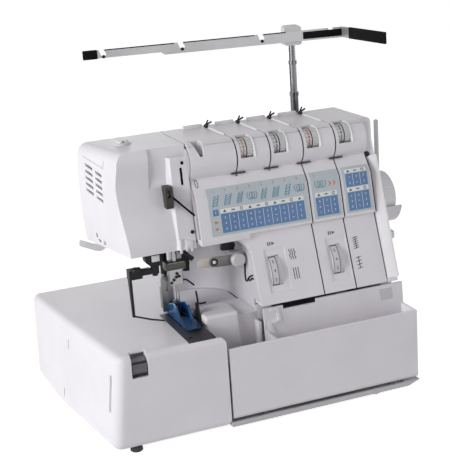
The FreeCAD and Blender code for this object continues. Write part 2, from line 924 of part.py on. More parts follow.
def slit_boxes():
    half = slit_width / 2
    return [box(x - half, x + half, 0, slit_back, fold[1] - 3, through) for x in slit_places]


def notch():
    return plate_y([(116.5, arm_top + 4), (123.0, 272.6), (126.5, 272.6), (130.5, arm_top + 4)], 50, 92)


def dial_windows():
    return [box(dial_left(i) - clearance, dial_left(i) + dial_width + clearance, 0, dial_axis()[0] + 6.6,
                dial_window_bottom, through) for i in range(len(slit_places))]


def wheel_window(x):
    y, z = wheel_axis()
    return rod_x(x - wheel_width / 2 - clearance, x + wheel_width / 2 + clearance, y, z,
                 wheel_radius + clearance)


def wheel_pocket(x):
    """Shallow recess in the lower panel round a thumb wheel."""
    low, high = wheel_height - recess_rise, wheel_height + recess_rise
    depth = wheel_recess
    return plate_x([(panel_depth(low) - 2, low), (panel_depth(low) + depth, low),
                    (panel_depth(high) + depth, high), (panel_depth(high) - 2, high)],
                   x - recess_left, x + recess_right)


def shaft_rib(x):
    """Rib behind the shoulder that carries the tension shaft."""
    y, z = dial_axis()
    rib = plate_x([(fold[0], fold[1]), (fold[0] + 12, fold[1] + 2), (y + 6, z), (y + 4, z + 6),
                   (y - 4, z + 6),
                   (y - 6, z)], x, x + rib_thickness)
    rib = rib.common(column_section(x - 1, 0.5 * wall).extrude(V(rib_thickness + 2, 0, 0)))
    return rib.cut(rod_x(x - 1, x + 4, y, z, tension_shaft_radius + running_fit))


def wheel_lugs(x):
    """Pair of lugs inside the panel that carry a thumb wheel's axle."""
    y, z = wheel_axis()
    lugs = []
    for left in (x - wheel_width / 2 - 0.8 - wheel_lug, x + wheel_width / 2 + 0.8):
        lug = plate_x([(panel_depth(z + 10) + 1.5, z + 10), (y + 4, z + 5), (y + 4, z - 5),
                       (panel_depth(z - 4) + 1.5, z - 4)], left, left + wheel_lug)
        lugs.append(lug.cut(rod_x(left - 1, left + wheel_lug + 1, y, z, wheel_axle_radius + running_fit)))
    return lugs


def panel_strip(x0, x1):
    """Front wall between two x places: shoulder, brow, printed face and lower panel."""
    ring = wall_ring(column_section, x0, x1)
    strip = ring.common(box(x0, x1, 0, 96, panel_foot[1], deck_bottom() - seam))
    return strip.cut(box(x0 - 1, x1 + 1, column_front, through, 0, panel_foot[1] + wall + 1))


def arm_strip(x0, x1):
    ring = wall_ring(arm_section, x0, x1)
    strip = ring.common(box(x0, x1, 0, 96, arm_underside, deck_bottom() - seam))
    return strip.cut(box(x0 - 1, x1 + 1, panel_step[0] + wall, through, 0, arm_underside + wall + 1))


def front_panel(x0, x1, wheel_x, ribs):
    cuts = slit_boxes() + dial_windows() + [notch()]
    parts = [panel_strip(max(x0, column_left), x1)]
    if x0 < column_left:
        parts.insert(0, arm_strip(x0, column_left))
    strip = joined(parts)
    if wheel_x:
        cuts += [wheel_window(wheel_x), wheel_pocket(wheel_x)]
    strip = strip.cut(cuts)
    extras = [shaft_rib(x) for x in ribs]
    if wheel_x:
        extras += wheel_lugs(wheel_x)
    return joined([strip] + extras)


def front_panel_left():
    x0 = head_right + seam
    panel = front_panel(x0, slit_places[2] - slit_width / 2, differential_wheel_x,
                        (slit_places[0] - 6, slit_places[1] - 6))
    end = arm_section(x0).extrude(V(wall, 0, 0))
    foot = arm_underside + wall + seam
    end = end.common(box(x0, x0 + wall, 0, panel_end_depth, foot, deck_bottom() - seam))
    return joined([panel, end])


def front_panel_middle():
    return front_panel(slit_places[2] + slit_width / 2, slit_places[3] - slit_width / 2, length_wheel_x,
                       (slit_places[3] - 6,))


def front_panel_right():
    return front_panel(slit_places[3] + slit_width / 2, panel_right - slit_width / 2, None,
                       (panel_right - 6,))


def guide_plate(x0, x1):
    """Printed plate that lies on the panel between the brow and the step."""
    along = unit(V(0, brow[0] - plate_foot[0], brow[1] - plate_foot[1]))
    normal = V(0, -along.z, along.y)
    low = V(0, plate_foot[0], plate_foot[1]) + along * 3
    high = V(0, brow[0], brow[1]) - along * 3
    corners = [low, high, high + normal * guide_plate_thickness, low + normal * guide_plate_thickness]
    return plate_x([(p.y, p.z) for p in corners], x0, x1)


def guide_plates():
    edges = (head_right + guide_plate_margin + 4, slit_places[2], slit_places[3], panel_right)
    return group(guide_plate(left + guide_plate_margin - 2, right - guide_plate_margin + 2)
                 for left, right in zip(edges, edges[1:]))


def top_cover():
    x0, x1 = head_right + seam, panel_right - seam
    ring = wall_ring(arm_section, x0, x1)
    deck = ring.common(box(x0, x1, 0, arm_back, deck_bottom(), arm_top))
    return joined([deck.cut(slit_boxes() + dial_windows() + [notch()])] + thread_fences())


def rear_cover():
    x0, x1 = head_right + seam, panel_right - seam
    front = arm_back - wall
    upper = box(x0, x1, front, arm_back, throat_foot, deck_bottom() - seam)
    lower = box(column_left, x1, front, arm_back, skirt_top(), throat_foot + 1)
    foot = box(column_left, x1, 140, arm_back, skirt_top(), skirt_top() + wall)
    ribs = [box(x, x + 2, arm_back - 8, front + 0.2, skirt_top() + 10, deck_bottom() - 10)
            for x in (200.0, 240.0, 280.0)]
    return joined([upper, lower, foot] + ribs)


def throat_void(extra):
    """Room under the arm with a round back corner, grown by extra."""
    right, back, top = column_left + extra, throat_depth + extra, arm_underside + extra
    plan = [(head_right - 40, -20), (right, -20), (right, back, throat_corner + extra),
            (head_right - 40, back)]
    room = plate_z(plan, throat_foot - 10, top)
    return rounded_edges(room, throat_radius + extra, lambda e: abs(e.CenterOfMass.z - top) < 1e-6
                         and e.CenterOfMass.x > head_right - 30 and e.CenterOfMass.y > 0)


def throat_cover():
    shell = throat_void(wall).cut(throat_void(0.0))
    inside = column_section(head_right + seam, wall + seam)
    inside = inside.extrude(V(column_left + 20 - head_right, 0, 0))
    shell = shell.common(inside).common(box(0, through, 20, through, throat_foot, through))
    lip = box(0, column_left + seam, 0, panel_step[0] + wall + seam, arm_underside - 1, through)
    return joined([shell.cut(lip), lever_lug()])


def right_outline(inset):
    top, back, foot = arm_top - inset, arm_back - inset, skirt_top() + inset
    lean = inset * 1.06
    return [(28.8 + lean, panel_foot[1] + inset), (79.0 + lean, 262.0, 10), (80.5 + lean, top, 4),
            (back, top), (back, foot), (column_front + inset, foot),
            (column_front + inset, panel_foot[1] + inset)]


def right_solid(inset):
    solid = plate_x(right_outline(inset), panel_right + seam - (10 if inset else 0), body_right - inset)
    side = body_right - inset
    lean = unit(V(0, 50.2, 262.0 - panel_foot[1]))
    solid = rounded_edges(solid, cheek_radius - inset, lambda e: runs_along(e, lean)
                          and abs(e.CenterOfMass.x - side) < 0.1)
    return rounded_edges(solid, corner_radius - inset,
                         lambda e: runs_along(e, V(0, 1,
                                                   0)) and abs(e.CenterOfMass.z - arm_top + inset) < 0.1
                         and abs(e.CenterOfMass.x - side) < 0.1)


def shroud():
    radius = handwheel_radius + shroud_gap
    cup = rod_x(body_right - 0.5, shroud_outer(), shaft_y, shaft_z, radius + wall)
    bore = rod_x(body_right, shroud_outer() + 1, shaft_y, shaft_z, radius)
    return cup.cut([bore, box(0, through, 0, through, shroud_lip, through)])


def inlet_place():
    return 112.0, 134.0, 30.0, 58.0


def right_cover():
    shell = right_solid(0.0).cut(right_solid(wall))
    shell = joined([shell, shroud()])
    shaft_hole = rod_x(panel_right, shroud_outer() + 1, shaft_y, shaft_z, shaft_radius + wide_clearance)
    y0, y1, z0, z1 = inlet_place()
    inlet_hole = box(panel_right, through, y0, y1, z0, z1)
    return shell.cut([shaft_hole, inlet_hole])


def power_inlet():
    y0, y1, z0, z1 = inlet_place()
    body = box(body_right - 14, body_right, y0 + seam, y1 - seam, z0 + seam, z1 - seam)
    flange = box(body_right, body_right + 2, y0 - 2.5, y1 + 2.5, z0 - 2.5, z1 + 2.5)
    socket = box(body_right - 10, through, y0 + 3, y0 + 19, z0 + 6, z1 - 6)
    return joined([body, flange]).cut(socket)


# Thread path on the head and the top

def thread_plate():
    back = head_brow[0] + 18
    block = plate_x([thread_plate_foot, thread_plate_top, (back, thread_plate_top[1]),
                     (back, thread_plate_foot[1])], thread_plate_left, thread_plate_right)
    block = block.cut(scooped_head(0.0))
    block = block.cut(box(0, through, 0, through, 0, head_underside() + 0.5))
    slot = box(thread_plate_left + 12, thread_plate_left + 13.8, 40, 80, 246, 264)
    hole = rod_y(40, 80, thread_plate_left + 15, 269, 1.6)
    return block.cut([slot, hole, thread_plate_bevel()])


def thread_plate_bevel():
    """Wedge that slants the left edge of the thread plate towards the light side."""
    front, foot = thread_plate_foot
    across, deep = thread_plate_slant
    left = thread_plate_left
    corners = [V(left - across, front - deep, foot), V(left + 2 * across, front - deep, foot),
               V(left - across, front + 2 * deep, foot)]
    face = Part.Face(Part.makePolygon(corners + corners[:1]))
    return face.extrude(V(0, thread_plate_top[0] - front, thread_plate_top[1] - foot))


def take_up_lever():
    right = thread_plate_left - 0.6
    front, top = take_up_front, take_up_bottom + take_up_height
    block = plate_x([(front, take_up_bottom), (front, top), (front + take_up_depth + take_up_lean, top),
                     (front + take_up_depth, take_up_bottom)], take_up_left, right)
    slot = box(take_up_left + 2, right - 2, 0, through, take_up_bottom + 11, top - 3)
    wire = rod_between(V(right - 2, front + 2.5, top - 9), V(thread_plate_right, front, top - 33), 0.8)
    return joined([block.cut(slot), wire])


def rear_thread_clips():
    clips = []
    for x in slit_places:
        foot = box(x - 3.2, x - 1.0, slit_back - 4, slit_back + 4, arm_top, arm_top + 3)
        arm = rod_between(V(x - 2.1, slit_back + 1, arm_top + 2.4),
                          V(x + 5.5, slit_back + 3, arm_top + 5.0), 1.0)
        stud = rod_between(V(x - 2.1, slit_back + 1, arm_top + 2.4),
                           V(x + 2.0, slit_back + 4, arm_top + 7.0), 0.9)
        clips.append(joined([foot, arm, stud]))
    return group(clips)


def thread_fences():
    """Low ridges moulded on the deck between the thread clips."""
    bars = []
    for x in slit_places:
        section = [(slit_back + 5, arm_top - 1), (slit_back + 8.5, arm_top - 1),
                   (slit_back + 8.5, arm_top + 3.6, 1), (slit_back + 5, arm_top + 3.6, 1)]
        bars.append(plate_x(section, x - 26, x - 5))
    return bars


def tension_clips():
    clips = []
    for x in slit_places:
        z = fold[1] + 0.6
        bar = rod_x(x - 6, x + 10, fold[0] - 2.2, z - 0.4, 0.8)
        tab = box(x - 3.4, x - 1.4, fold[0] - 2.2, fold[0] + 0.4, z - 1.0, z + 0.2)
        clips.append(joined([bar, tab]).cut(fold_block(x - 8, x + 12)))
    return group(clips)


def fold_block(x0, x1):
    return column_section(x0).extrude(V(x1 - x0, 0, 0))


def tension_shaft():
    y, z = dial_axis()
    return rod_x(slit_places[0] - 6, panel_right - slit_width / 2 - 0.5, y, z, tension_shaft_radius)


def tension_dial(index):
    y, z = dial_axis()
    left = dial_left(index)
    right = left + dial_width
    scale = rod_x(left, left + 0.55 * dial_width, y, z, dial_radius - 0.5)
    rim = toothed_drum(left + 0.55 * dial_width, right, y, z, dial_radius, 0.7, dial_teeth)
    bore = rod_x(left - 1, right + 1, y, z, tension_shaft_radius + running_fit)
    return joined([scale, rim]).cut(bore)


def thumb_wheel(x):
    y, z = wheel_axis()
    half = wheel_width / 2
    drum = toothed_drum(x - half, x + half, y, z, wheel_radius, 0.6, wheel_teeth)
    axle = rod_x(x - half - 0.8 - wheel_lug, x + half + 0.8 + wheel_lug, y, z, wheel_axle_radius)
    return joined([drum, axle])


def differential_dial():
    return thumb_wheel(differential_wheel_x)


def stitch_length_dial():
    return thumb_wheel(length_wheel_x)


# Needle, presser foot and guides

def needle_bar():
    top = head_underside() + needle_bar_rise
    return rod_z(clamp_bottom + clamp_height - 8, top, needle_x, needle_y, bar_radius)


def needle_clamp():
    y0 = needle_y - clamp_depth / 2
    top = clamp_bottom + clamp_height

    def block(width, low, high):
        half = width / 2
        return plate_z([(needle_x - half, y0, 2), (needle_x + half, y0, 2),
                        (needle_x + half, y0 + clamp_depth, 3), (needle_x - half, y0 + clamp_depth, 3)],
                       low, high)
    cap = block(clamp_cap_width, top - clamp_cap_height, top)
    body = joined([cap, block(clamp_width, clamp_bottom, top - clamp_cap_height + 1)])
    bar_bore = rod_z(top - 8, through, needle_x, needle_y, bar_radius + running_fit)
    cuts = [rod_z(clamp_bottom - 1, clamp_bottom + 13, x, needle_y, needle_radius + running_fit)
            for x in needle_places()]
    screws = [rod_y(y0 - 0.7, y0 + 1, needle_x - 5 + 2.5 * step, clamp_bottom + 3 + 2.3 * step, 1.1)
              for step in range(5)]
    return joined([body.cut(cuts + [bar_bore])] + screws)


def needle_places():
    return (needle_x - needle_pitch, needle_x, needle_x + needle_pitch)


def needles():
    solids = []
    for x in needle_places():
        shank = rod_z(needle_tip + 8, clamp_bottom + 13, x, needle_y, needle_radius)
        point = Part.makeCone(0.12, needle_radius, 8, V(x, needle_y, needle_tip), V(0, 0, 1))
        solids.append(joined([shank, point]))
    return group(solids)


def presser_bar():
    """Bar with the steel shank plate that stands in front of it and carries the foot."""
    bar = rod_z(presser_bar_bottom, presser_bar_top, presser_bar_x, presser_bar_y, bar_radius)
    left, right = presser_bar_x - shank_sides[0], presser_bar_x + shank_sides[1]
    front = presser_bar_y - shank_gap
    toe = bed_top + foot_sole_gap + foot_sole + clearance
    inside = needle_x - foot_width / 2 + 0.2
    step = toe + 11
    high = presser_bar_bottom + shank_top
    plate = plate_y([(left, toe), (inside, toe), (inside, step), (right, step), (right, high, 3),
                     (left, high, 3)], front, front + shank_thickness)
    slot = box(left + 4, left + 6.5, 0, presser_bar_y - 6, high - 16, high - 5)
    block = box(presser_bar_x - 4, right - 1, front + 1, presser_bar_y - 1, presser_bar_bottom + 11, high - 2)
    return joined([bar, plate.cut(slot), block])


def presser_foot():
    bottom = bed_top + foot_sole_gap
    top = bottom + foot_sole
    half = foot_width / 2
    sole = plate_z([(needle_x - half, foot_front + 6, 3), (needle_x - half + 3, foot_front, 2),
                    (needle_x + half - 3, foot_front, 2), (needle_x + half, foot_front + 6, 3),
                    (needle_x + half, foot_back, 3), (needle_x - half, foot_back, 3)], bottom, top)
    toe = plate_x([(foot_front - 2, bottom - 1), (foot_front + 8, bottom - 1),
                   (foot_front - 2, bottom + 2.0)],
                  0, through)
    slot = box(needle_x - 4, needle_x + 4, needle_y - 14, needle_y + 5, bottom - 1, top + 1)
    cheeks = [plate_x([(presser_bar_y - 44, top - 0.5), (presser_bar_y + 5, top - 0.5),
                       (presser_bar_y + 5, top + 8, 2),
                       (presser_bar_y - 8, top + 8, 2), (presser_bar_y - 24, top + 13, 3),
                       (presser_bar_y - 34, top + 12, 2)], x, x + 2)
              for x in (needle_x - half + 0.5, needle_x + half - 2.5)]
    bridge = box(needle_x - half + 0.5, needle_x + half - 0.5, presser_bar_y - 5, presser_bar_y + 5,
                 top - 0.5, top + 6)
    socket = rod_z(top + 2, presser_bar_bottom + 10, presser_bar_x, presser_bar_y, bar_radius + 2.6)
    bore = rod_z(presser_bar_bottom, through, presser_bar_x, presser_bar_y, bar_radius + running_fit)
    screw = rod_y(presser_bar_y + 5, presser_bar_y + 9, presser_bar_x, presser_bar_bottom + 6, 2.4)
    return joined([sole.cut([toe, slot])] + cheeks + [bridge, socket, screw]).cut(bore)


def presser_lever():
    x, z = lever_pivot()
    y0, y1 = arm_back + clearance, arm_back + clearance + 5
    hub = rod_y(y0, y1, x, z, 6.5)
    arm = plate_y([(x - 3, z + 6), (x - 28, z - 13, 8), (13, z - 4, 2), (11, z - 10, 3),
                   (x - 26, z - 21, 10),
                   (x + 1, z - 6)], y0, y1)
    pin = rod_y(arm_back - wall - 4, y1, x, z, 2.0)
    return joined([hub, arm, pin])


def lever_pivot():
    return 60.0, head_underside() + 4.0


def seam_guide():
    x, y = guide_pivot()
    top = guide_lug_foot() - clearance
    toe = bed_top + guide_toe_rise
    left = x - guide_reach
    pivot = rod_z(top - 8, top, x, y, 4.5)
    arm = plate_z([(left + 1, y - 4, 2), (x, y - 4), (x, y + 4), (left + 1, y + 4, 2)], top - 7, top - 3)
    block = box(left, left + 14, y - 5, y + 5, top - 10, top)
    drop = plate_x([(y - 5, toe + 8), (y - 2, toe + 8), (y + 3, top - 9), (y - 4, top - 9)], left, left + 2.5)
    bends = (V(left + 1.2, y - 3.6, toe + 9), V(left + 19, y - 7, toe + 3), V(left + 32, y - 9, toe))
    toes = [rod_between(start, end, 0.9) for start, end in zip(bends, bends[1:])]
    knuckle = Part.makeSphere(0.9, bends[1])
    bore = rod_z(top - 15, top + 5, x, y, guide_pin_radius + running_fit)
    return joined([pivot, arm, block, drop, knuckle] + toes).cut(bore)


def guide_pivot():
    return 68.0, 78.0


def guide_lug_foot():
    return head_underside() - guide_lug_drop


def guide_bracket():
    x, y = guide_pivot()
    foot = guide_lug_foot()
    lug = plate_y([(x - 12, head_underside()), (x - 10, foot + 4.6, 3), (x - 5, foot), (x + 5, foot),
                   (x + 6, foot + 4.6, 3), (x + 6, head_underside())], y - 5, y + 5)
    pin = rod_z(foot - 9.4, foot + 1.6, x, y, guide_pin_radius)
    head = rod_z(foot - 10.9, foot - 8.8, x, y, 3.0)
    return joined([lug, pin, head])


def lever_point():
    return lever_x, arm_underside - lever_drop


def thread_lever():
    x, z = lever_point()
    front = lever_back - lever_thickness
    plate = plate_y([(112, z - 2.5, 2), (112, z + 4, 2), (x - 10, z + 5, 3), (x + 5, z + 6, 5),
                     (x + 5, z - 6, 5),
                     (x - 10, z - 4, 3)], front, lever_back)
    eye = rod_y(front - 1, lever_back + 1, 118, z + 1, 1.2)
    knob = turned([(0, 0), (0, 7.0), (2.4, 7.6), (6.4, 7.6), (7.8, 6.4), (7.8, 0)], V(x, front + 0.1, z),
                  V(0, -1, 0))
    stud = rod_y(lever_back - 0.5, lever_back + 6.8, x, z, lever_stud_radius)
    return joined([plate.cut(eye), knob, stud])


def lever_lug():
    """Lug on the throat cover that carries the threading lever's stud."""
    x, z = lever_point()
    tab = plate_y([(x - 7, z - 7, 4), (column_left + 1, z - 7), (column_left + 1, z + 7),
                   (x - 7, z + 7, 4)],
                  lever_back + clearance, lever_back + 8)
    return tab.cut(rod_y(0, lever_back + 7.2, x, z, lever_stud_radius + running_fit))


# Drive inside the column

def machine_frame():
    z0 = pan_bottom() + pan_floor
    outline = plate_y([(frame_left, z0), (frame_right, z0), (frame_right, frame_beam_top),
                       (frame_beam_left, frame_beam_top, 6), (frame_beam_left, frame_beam_bottom, 6),
                       (frame_left, frame_beam_bottom, 12)], frame_front, frame_back)
    window = plate_y([(frame_left + frame_upright, frame_window_bottom, 5),
                      (frame_right - frame_upright, frame_window_bottom, 5),
                      (frame_right - frame_upright, frame_window_top, 5),
                      (frame_left + frame_upright, frame_window_top, 5)], 0, through)
    left, right = presser_bar_x - 9, needle_x + 10
    low = head_underside() + 4
    upper = box(left, right, needle_y - 6, frame_front + 1, low + 16, low + 28)
    web = box(needle_x + 4, right, presser_bar_y + 4.5, frame_front + 1, low, frame_beam_bottom + 15)
    lower = box(left, right, needle_y - 6.5, frame_front + 1, low, low + 10)
    foot = box(frame_left - 10, frame_right + 6, frame_front - 20, frame_back + 10, z0, z0 + 6)
    frame = joined([outline.cut(window), upper, web, lower, foot])
    bores = [rod_x(0, through, shaft_y, shaft_z, shaft_radius + running_fit),
             rod_x(frame_right - 20, through, shaft_y, motor_z, motor_shaft_radius + 2)]
    for x, y in ((needle_x, needle_y), (presser_bar_x, presser_bar_y)):
        bores.append(rod_z(150, 260, x, y, bar_radius + running_fit))
    belt_side = box(pulley_left - 2, through, 0, through, z0 + 5.9, through)
    return frame.cut(bores + [belt_side])


def main_shaft():
    rim = drive_pulley_radius + 2
    grooved = [(0, 0), (0, rim), (1, rim), (1, drive_pulley_radius),
               (pulley_width - 1, drive_pulley_radius),
               (pulley_width - 1, rim), (pulley_width, rim), (pulley_width, 0)]
    pulley = turned(grooved, V(pulley_left, shaft_y, shaft_z), V(1, 0, 0))
    return joined([rod_x(frame_left - 4, handwheel_outer() - 4, shaft_y, shaft_z, shaft_radius), pulley])


def handwheel():
    near, far = handwheel_gap, handwheel_gap + handwheel_width
    profile = [(1, 0), (1, 8), (near - 3, 8), (near - 3, 18), (near, handwheel_radius - 2),
               (near + 2, handwheel_radius), (far - 3, handwheel_radius), (far, handwheel_radius - 4),
               (far, 16), (far - 2, 14), (far - 2, 0)]
    wheel = turned(profile, V(body_right, shaft_y, shaft_z), V(1, 0, 0))
    flutes = []
    for index in range(handwheel_scallops):
        angle = 2 * math.pi * index / handwheel_scallops
        flutes.append(rod_x(handwheel_inner() - 1, handwheel_outer() + 1,
                            shaft_y + (handwheel_radius + 1.2) * math.cos(angle),
                            shaft_z + (handwheel_radius + 1.2) * math.sin(angle), 1.9))
    bore = rod_x(body_right, handwheel_outer() - 4, shaft_y, shaft_z, shaft_radius + running_fit)
    return wheel.cut(flutes + [bore])


def motor():
    right = motor_left + motor_length
    can = rod_x(motor_left, right, shaft_y, motor_z, motor_radius)
    can = can.makeFillet(3, can.Edges)
    cap = rod_x(right - 1, right + 5, shaft_y, motor_z, 11)
    feet = [box(x, x + 12, shaft_y - 26, shaft_y + 26, pan_bottom() + pan_floor + 6, motor_z - 16)
            for x in (motor_left + 6, right - 18)]
    return joined([can, cap] + feet)


def motor_pulley():
    x = pulley_left
    hub = turned([(-20, 0), (-20, motor_shaft_radius), (-1, motor_shaft_radius),
                  (-1, motor_pulley_radius + 2),
                  (0.5, motor_pulley_radius + 2), (0.5, motor_pulley_radius),
                  (pulley_width - 0.5, motor_pulley_radius),
                  (pulley_width - 0.5, motor_pulley_radius + 2),
                  (pulley_width + 1, motor_pulley_radius + 2),
                  (pulley_width + 1, 0)], V(x, shaft_y, motor_z), V(1, 0, 0))
    return hub


def drive_belt():
    x0, x1 = pulley_left + 1.4, pulley_left + pulley_width - 1.4

    def loop(extra):
        big, small = drive_pulley_radius + extra, motor_pulley_radius + extra
        span = shaft_z - motor_z
        tilt = math.asin((big - small) / span)
        def point(z, radius, angle):
            return V(x0, shaft_y + radius * math.cos(angle), z + radius * math.sin(angle))
        low = -tilt
        edges = [Part.Arc(point(shaft_z, big, low), point(shaft_z, big, math.pi / 2),
                          point(shaft_z, big, math.pi - low)).toShape(),
                 Part.LineSegment(point(shaft_z, big, math.pi - low),
                                  point(motor_z, small, math.pi - low)).toShape(),
                 Part.Arc(point(motor_z, small, math.pi - low), point(motor_z, small, -math.pi / 2),
                          point(motor_z, small, low)).toShape(),
                 Part.LineSegment(point(motor_z, small, low), point(shaft_z, big, low)).toShape()]
        return Part.Face(Part.Wire(edges)).extrude(V(x1 - x0, 0, 0))
    return loop(seam + belt_thickness).cut(loop(seam))


# Thread stand

def pin_places():
    return [pin_right - pin_pitch * index for index in range(pin_count)]


def spool_stand():
    top = stand_top()
    outer = plate_z([(stand_left, stand_front, 12), (stand_right, stand_front, 9),
                     (stand_right, stand_back, 9),
                     (stand_left, stand_back, 12)], stand_bottom, top)
    outer = rounded_edges(outer, 2.0, lambda e: abs(e.CenterOfMass.z - top) < 1e-6)
    hollow = box(stand_left + 14, stand_right - 16, stand_front + wall, stand_back - wall,
                 stand_bottom - 1, top - wall)
    ribs = [box(x - 1, x + 1, stand_front + 1, stand_back - 1, stand_bottom, top - 1)
            for x in (stand_left + 80, 0.5 * (stand_left + stand_right), stand_right - 80)]
    bosses = [rod_z(stand_bottom, top - 1, x, pin_y, 7) for x in pin_places()]
    bosses.append(rod_z(stand_bottom, top - 1, pole_x, pole_y, 10))
    arms = [plate_x([(arm_back, stand_bottom - 22), (stand_front + 6, stand_bottom - 4),
                     (stand_front + 6, top - 1),
                     (arm_back, top - 1)], x, x + 24) for x in (185.0, 280.0)]
    holes = [rod_z(stand_bottom + 2, through, x, pin_y, pin_radius + running_fit) for x in pin_places()]
    holes.append(rod_z(stand_bottom + 2, through, pole_x, pole_y, pole_radii[0] + running_fit))
    return joined([outer.cut(hollow)] + ribs + bosses + arms).cut(holes)


def spool_pins():
    pins = []
    for x in pin_places():
        profile = [(0, 0), (0, pin_radius), (stand_thickness - 2, pin_radius), (stand_thickness - 2, 8.4),
                   (stand_thickness, 8.4), (stand_thickness + 12, pin_radius + 0.8),
                   (stand_thickness + 20, pin_radius), (pin_top - stand_bottom - 3.5, pin_radius),
                   (pin_top - stand_bottom - 2, 1.2), (pin_top - stand_bottom - 2, 0)]
        pins.append(turned(profile, V(x, pin_y, stand_bottom + 2), V(0, 0, 1)))
    return group(pins)


def pole_lower():
    tube = rod_z(stand_bottom + 2, pole_joints[0], pole_x, pole_y, pole_radii[0])
    return tube.cut(rod_z(stand_bottom + 6, through, pole_x, pole_y, pole_radii[1] + pole_bore_gap))


def pole_middle():
    low = stand_bottom + 40
    tube = rod_z(low, pole_joints[1], pole_x, pole_y, pole_radii[1])
    return tube.cut(rod_z(low + 4, through, pole_x, pole_y, pole_radii[2] + pole_bore_gap))


def pole_upper():
    return rod_z(stand_bottom + 80, pole_top, pole_x, pole_y, pole_radii[2])


def leaned(solid):
    """Thread guide pieces, turned about the pole to their place at rest."""
    solid.rotate(V(pole_x, pole_y, 0), V(0, 0, 1), -guide_bar_lean)
    return solid


def pole_bracket():
    x0, x1 = pole_x - bracket_width / 2, pole_x + bracket_width / 2
    z0 = pole_top - 6
    z1 = z0 + bracket_height + 6
    block = plate_y([(x0, z0, 3), (x1, z0, 3), (x1, z1, 4), (x0, z1, 4)], pole_y - 7, pole_y + 7)
    bore = rod_z(z0 - 1, pole_top, pole_x, pole_y, pole_radii[2] + running_fit)
    return leaned(block.cut(bore))


def guide_bar():
    y1 = pole_y - 7
    y0 = y1 - guide_bar_thickness
    z0, z1 = guide_bar_bottom, guide_bar_bottom + guide_bar_height
    points = [(guide_bar_left, z0 + 3, 2), (guide_bar_step, z0 + 3), (guide_bar_step + 4, z0),
              (guide_bar_bend, z0), (guide_bar_bend, z1), (guide_bar_left, z1, 2)]
    strip = plate_y(points, y0, y1)
    cuts = [plate_y([(x, z1 + 1), (x + 2.4, z1 - 6, 1), (x + 8, z1 - 7.5, 1.5), (x + 8, z1 - 4),
                     (x + 5, z1 + 1)], y0 - 1, y1 + 1) for x in guide_hooks]
    angle = math.radians(guide_bar_end_angle)
    along = V(math.cos(angle), -math.sin(angle), 0)
    side = V(math.sin(angle), math.cos(angle), 0) * guide_bar_thickness
    start = V(guide_bar_bend - 1.0, y0 + 0.3, z0)
    tip = start + along * guide_bar_end_length
    corners = [start, tip, tip + side, start + side, start]
    end = Part.Face(Part.makePolygon(corners)).extrude(V(0, 0, guide_bar_height))
    hook = box(0, 5, -5, 5, 0, 6)
    hook.Placement = FreeCAD.Placement(start + along * guide_end_hook + V(0, 0, guide_bar_height - 5),
                                       FreeCAD.Rotation(V(0, 0, 1), -guide_bar_end_angle))
    return leaned(joined([strip.cut(cuts), end.cut(hook)]))


PIECES = {
    "base_pan": base_pan,
    "rubber_feet": rubber_feet,
    "extension_table": extension_table,
    "table_feet": table_feet,
    "table_latch": table_latch,
    "bed_support": bed_support,
    "needle_plate": needle_plate,
    "feed_dog": feed_dog,
    "differential_feed_dog": differential_feed_dog,
    "looper_housing": looper_housing,
    "upper_knife": upper_knife,
    "lower_looper": lower_looper,
    "upper_looper": upper_looper,
    "looper_cover": looper_cover,
    "cover_hinge_rod": cover_hinge_rod,
    "cover_hinges": cover_hinges,
    "head_cover": head_cover,
    "top_cover": top_cover,
    "front_panel_left": front_panel_left,
    "front_panel_middle": front_panel_middle,
    "front_panel_right": front_panel_right,
    "guide_plates": guide_plates,
    "rear_cover": rear_cover,
    "right_cover": right_cover,
    "throat_cover": throat_cover,
    "thread_plate": thread_plate,
    "take_up_lever": take_up_lever,
    "rear_thread_clips": rear_thread_clips,
    "tension_clips": tension_clips,
    "tension_shaft": tension_shaft,
    "tension_dial_1": lambda: tension_dial(0),
    "tension_dial_2": lambda: tension_dial(1),
    "tension_dial_3": lambda: tension_dial(2),
    "tension_dial_4": lambda: tension_dial(3),
    "differential_dial": differential_dial,
    "stitch_length_dial": stitch_length_dial,
    "pressure_knob": pressure_knob,
    "needle_bar": needle_bar,
    "needle_clamp": needle_clamp,
    "needles": needles,
    "presser_bar": presser_bar,
    "presser_foot": presser_foot,
    "presser_lever": presser_lever,
    "seam_guide": seam_guide,
    "guide_bracket": guide_bracket,
    "thread_lever": thread_lever,
    "machine_frame": machine_frame,
    "main_shaft": main_shaft,
    "handwheel": handwheel,
    "motor": motor,
    "motor_pulley": motor_pulley,
    "drive_belt": drive_belt,
    "power_inlet": power_inlet,
    "spool_stand": spool_stand,
    "spool_pins": spool_pins,
    "pole_lower": pole_lower,
    "pole_middle": pole_middle,
    "pole_upper": pole_upper,
    "pole_bracket": pole_bracket,
    "guide_bar": guide_bar,
}


def table_left_end():
    """Leftmost reach of the table's bellied left face."""
    points, _ = table_solid(0.0).tessellate(0.05)
    return min(point.x for point in points)


def footprint_middle():
    return V(0.5 * (stand_right + table_left_end()), 0.5 * table_depth, 0)


def main():
    os.makedirs("parts", exist_ok=True)
    middle = footprint_middle()
    for name, draw in PIECES.items():
        shape = draw()
        shape.translate(-middle)
        shape.exportStep("parts/" + name + ".step")


if __name__ == "__main__":
    main()
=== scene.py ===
import json
import math
import bmesh
import bpy
from mathutils import Matrix, Vector


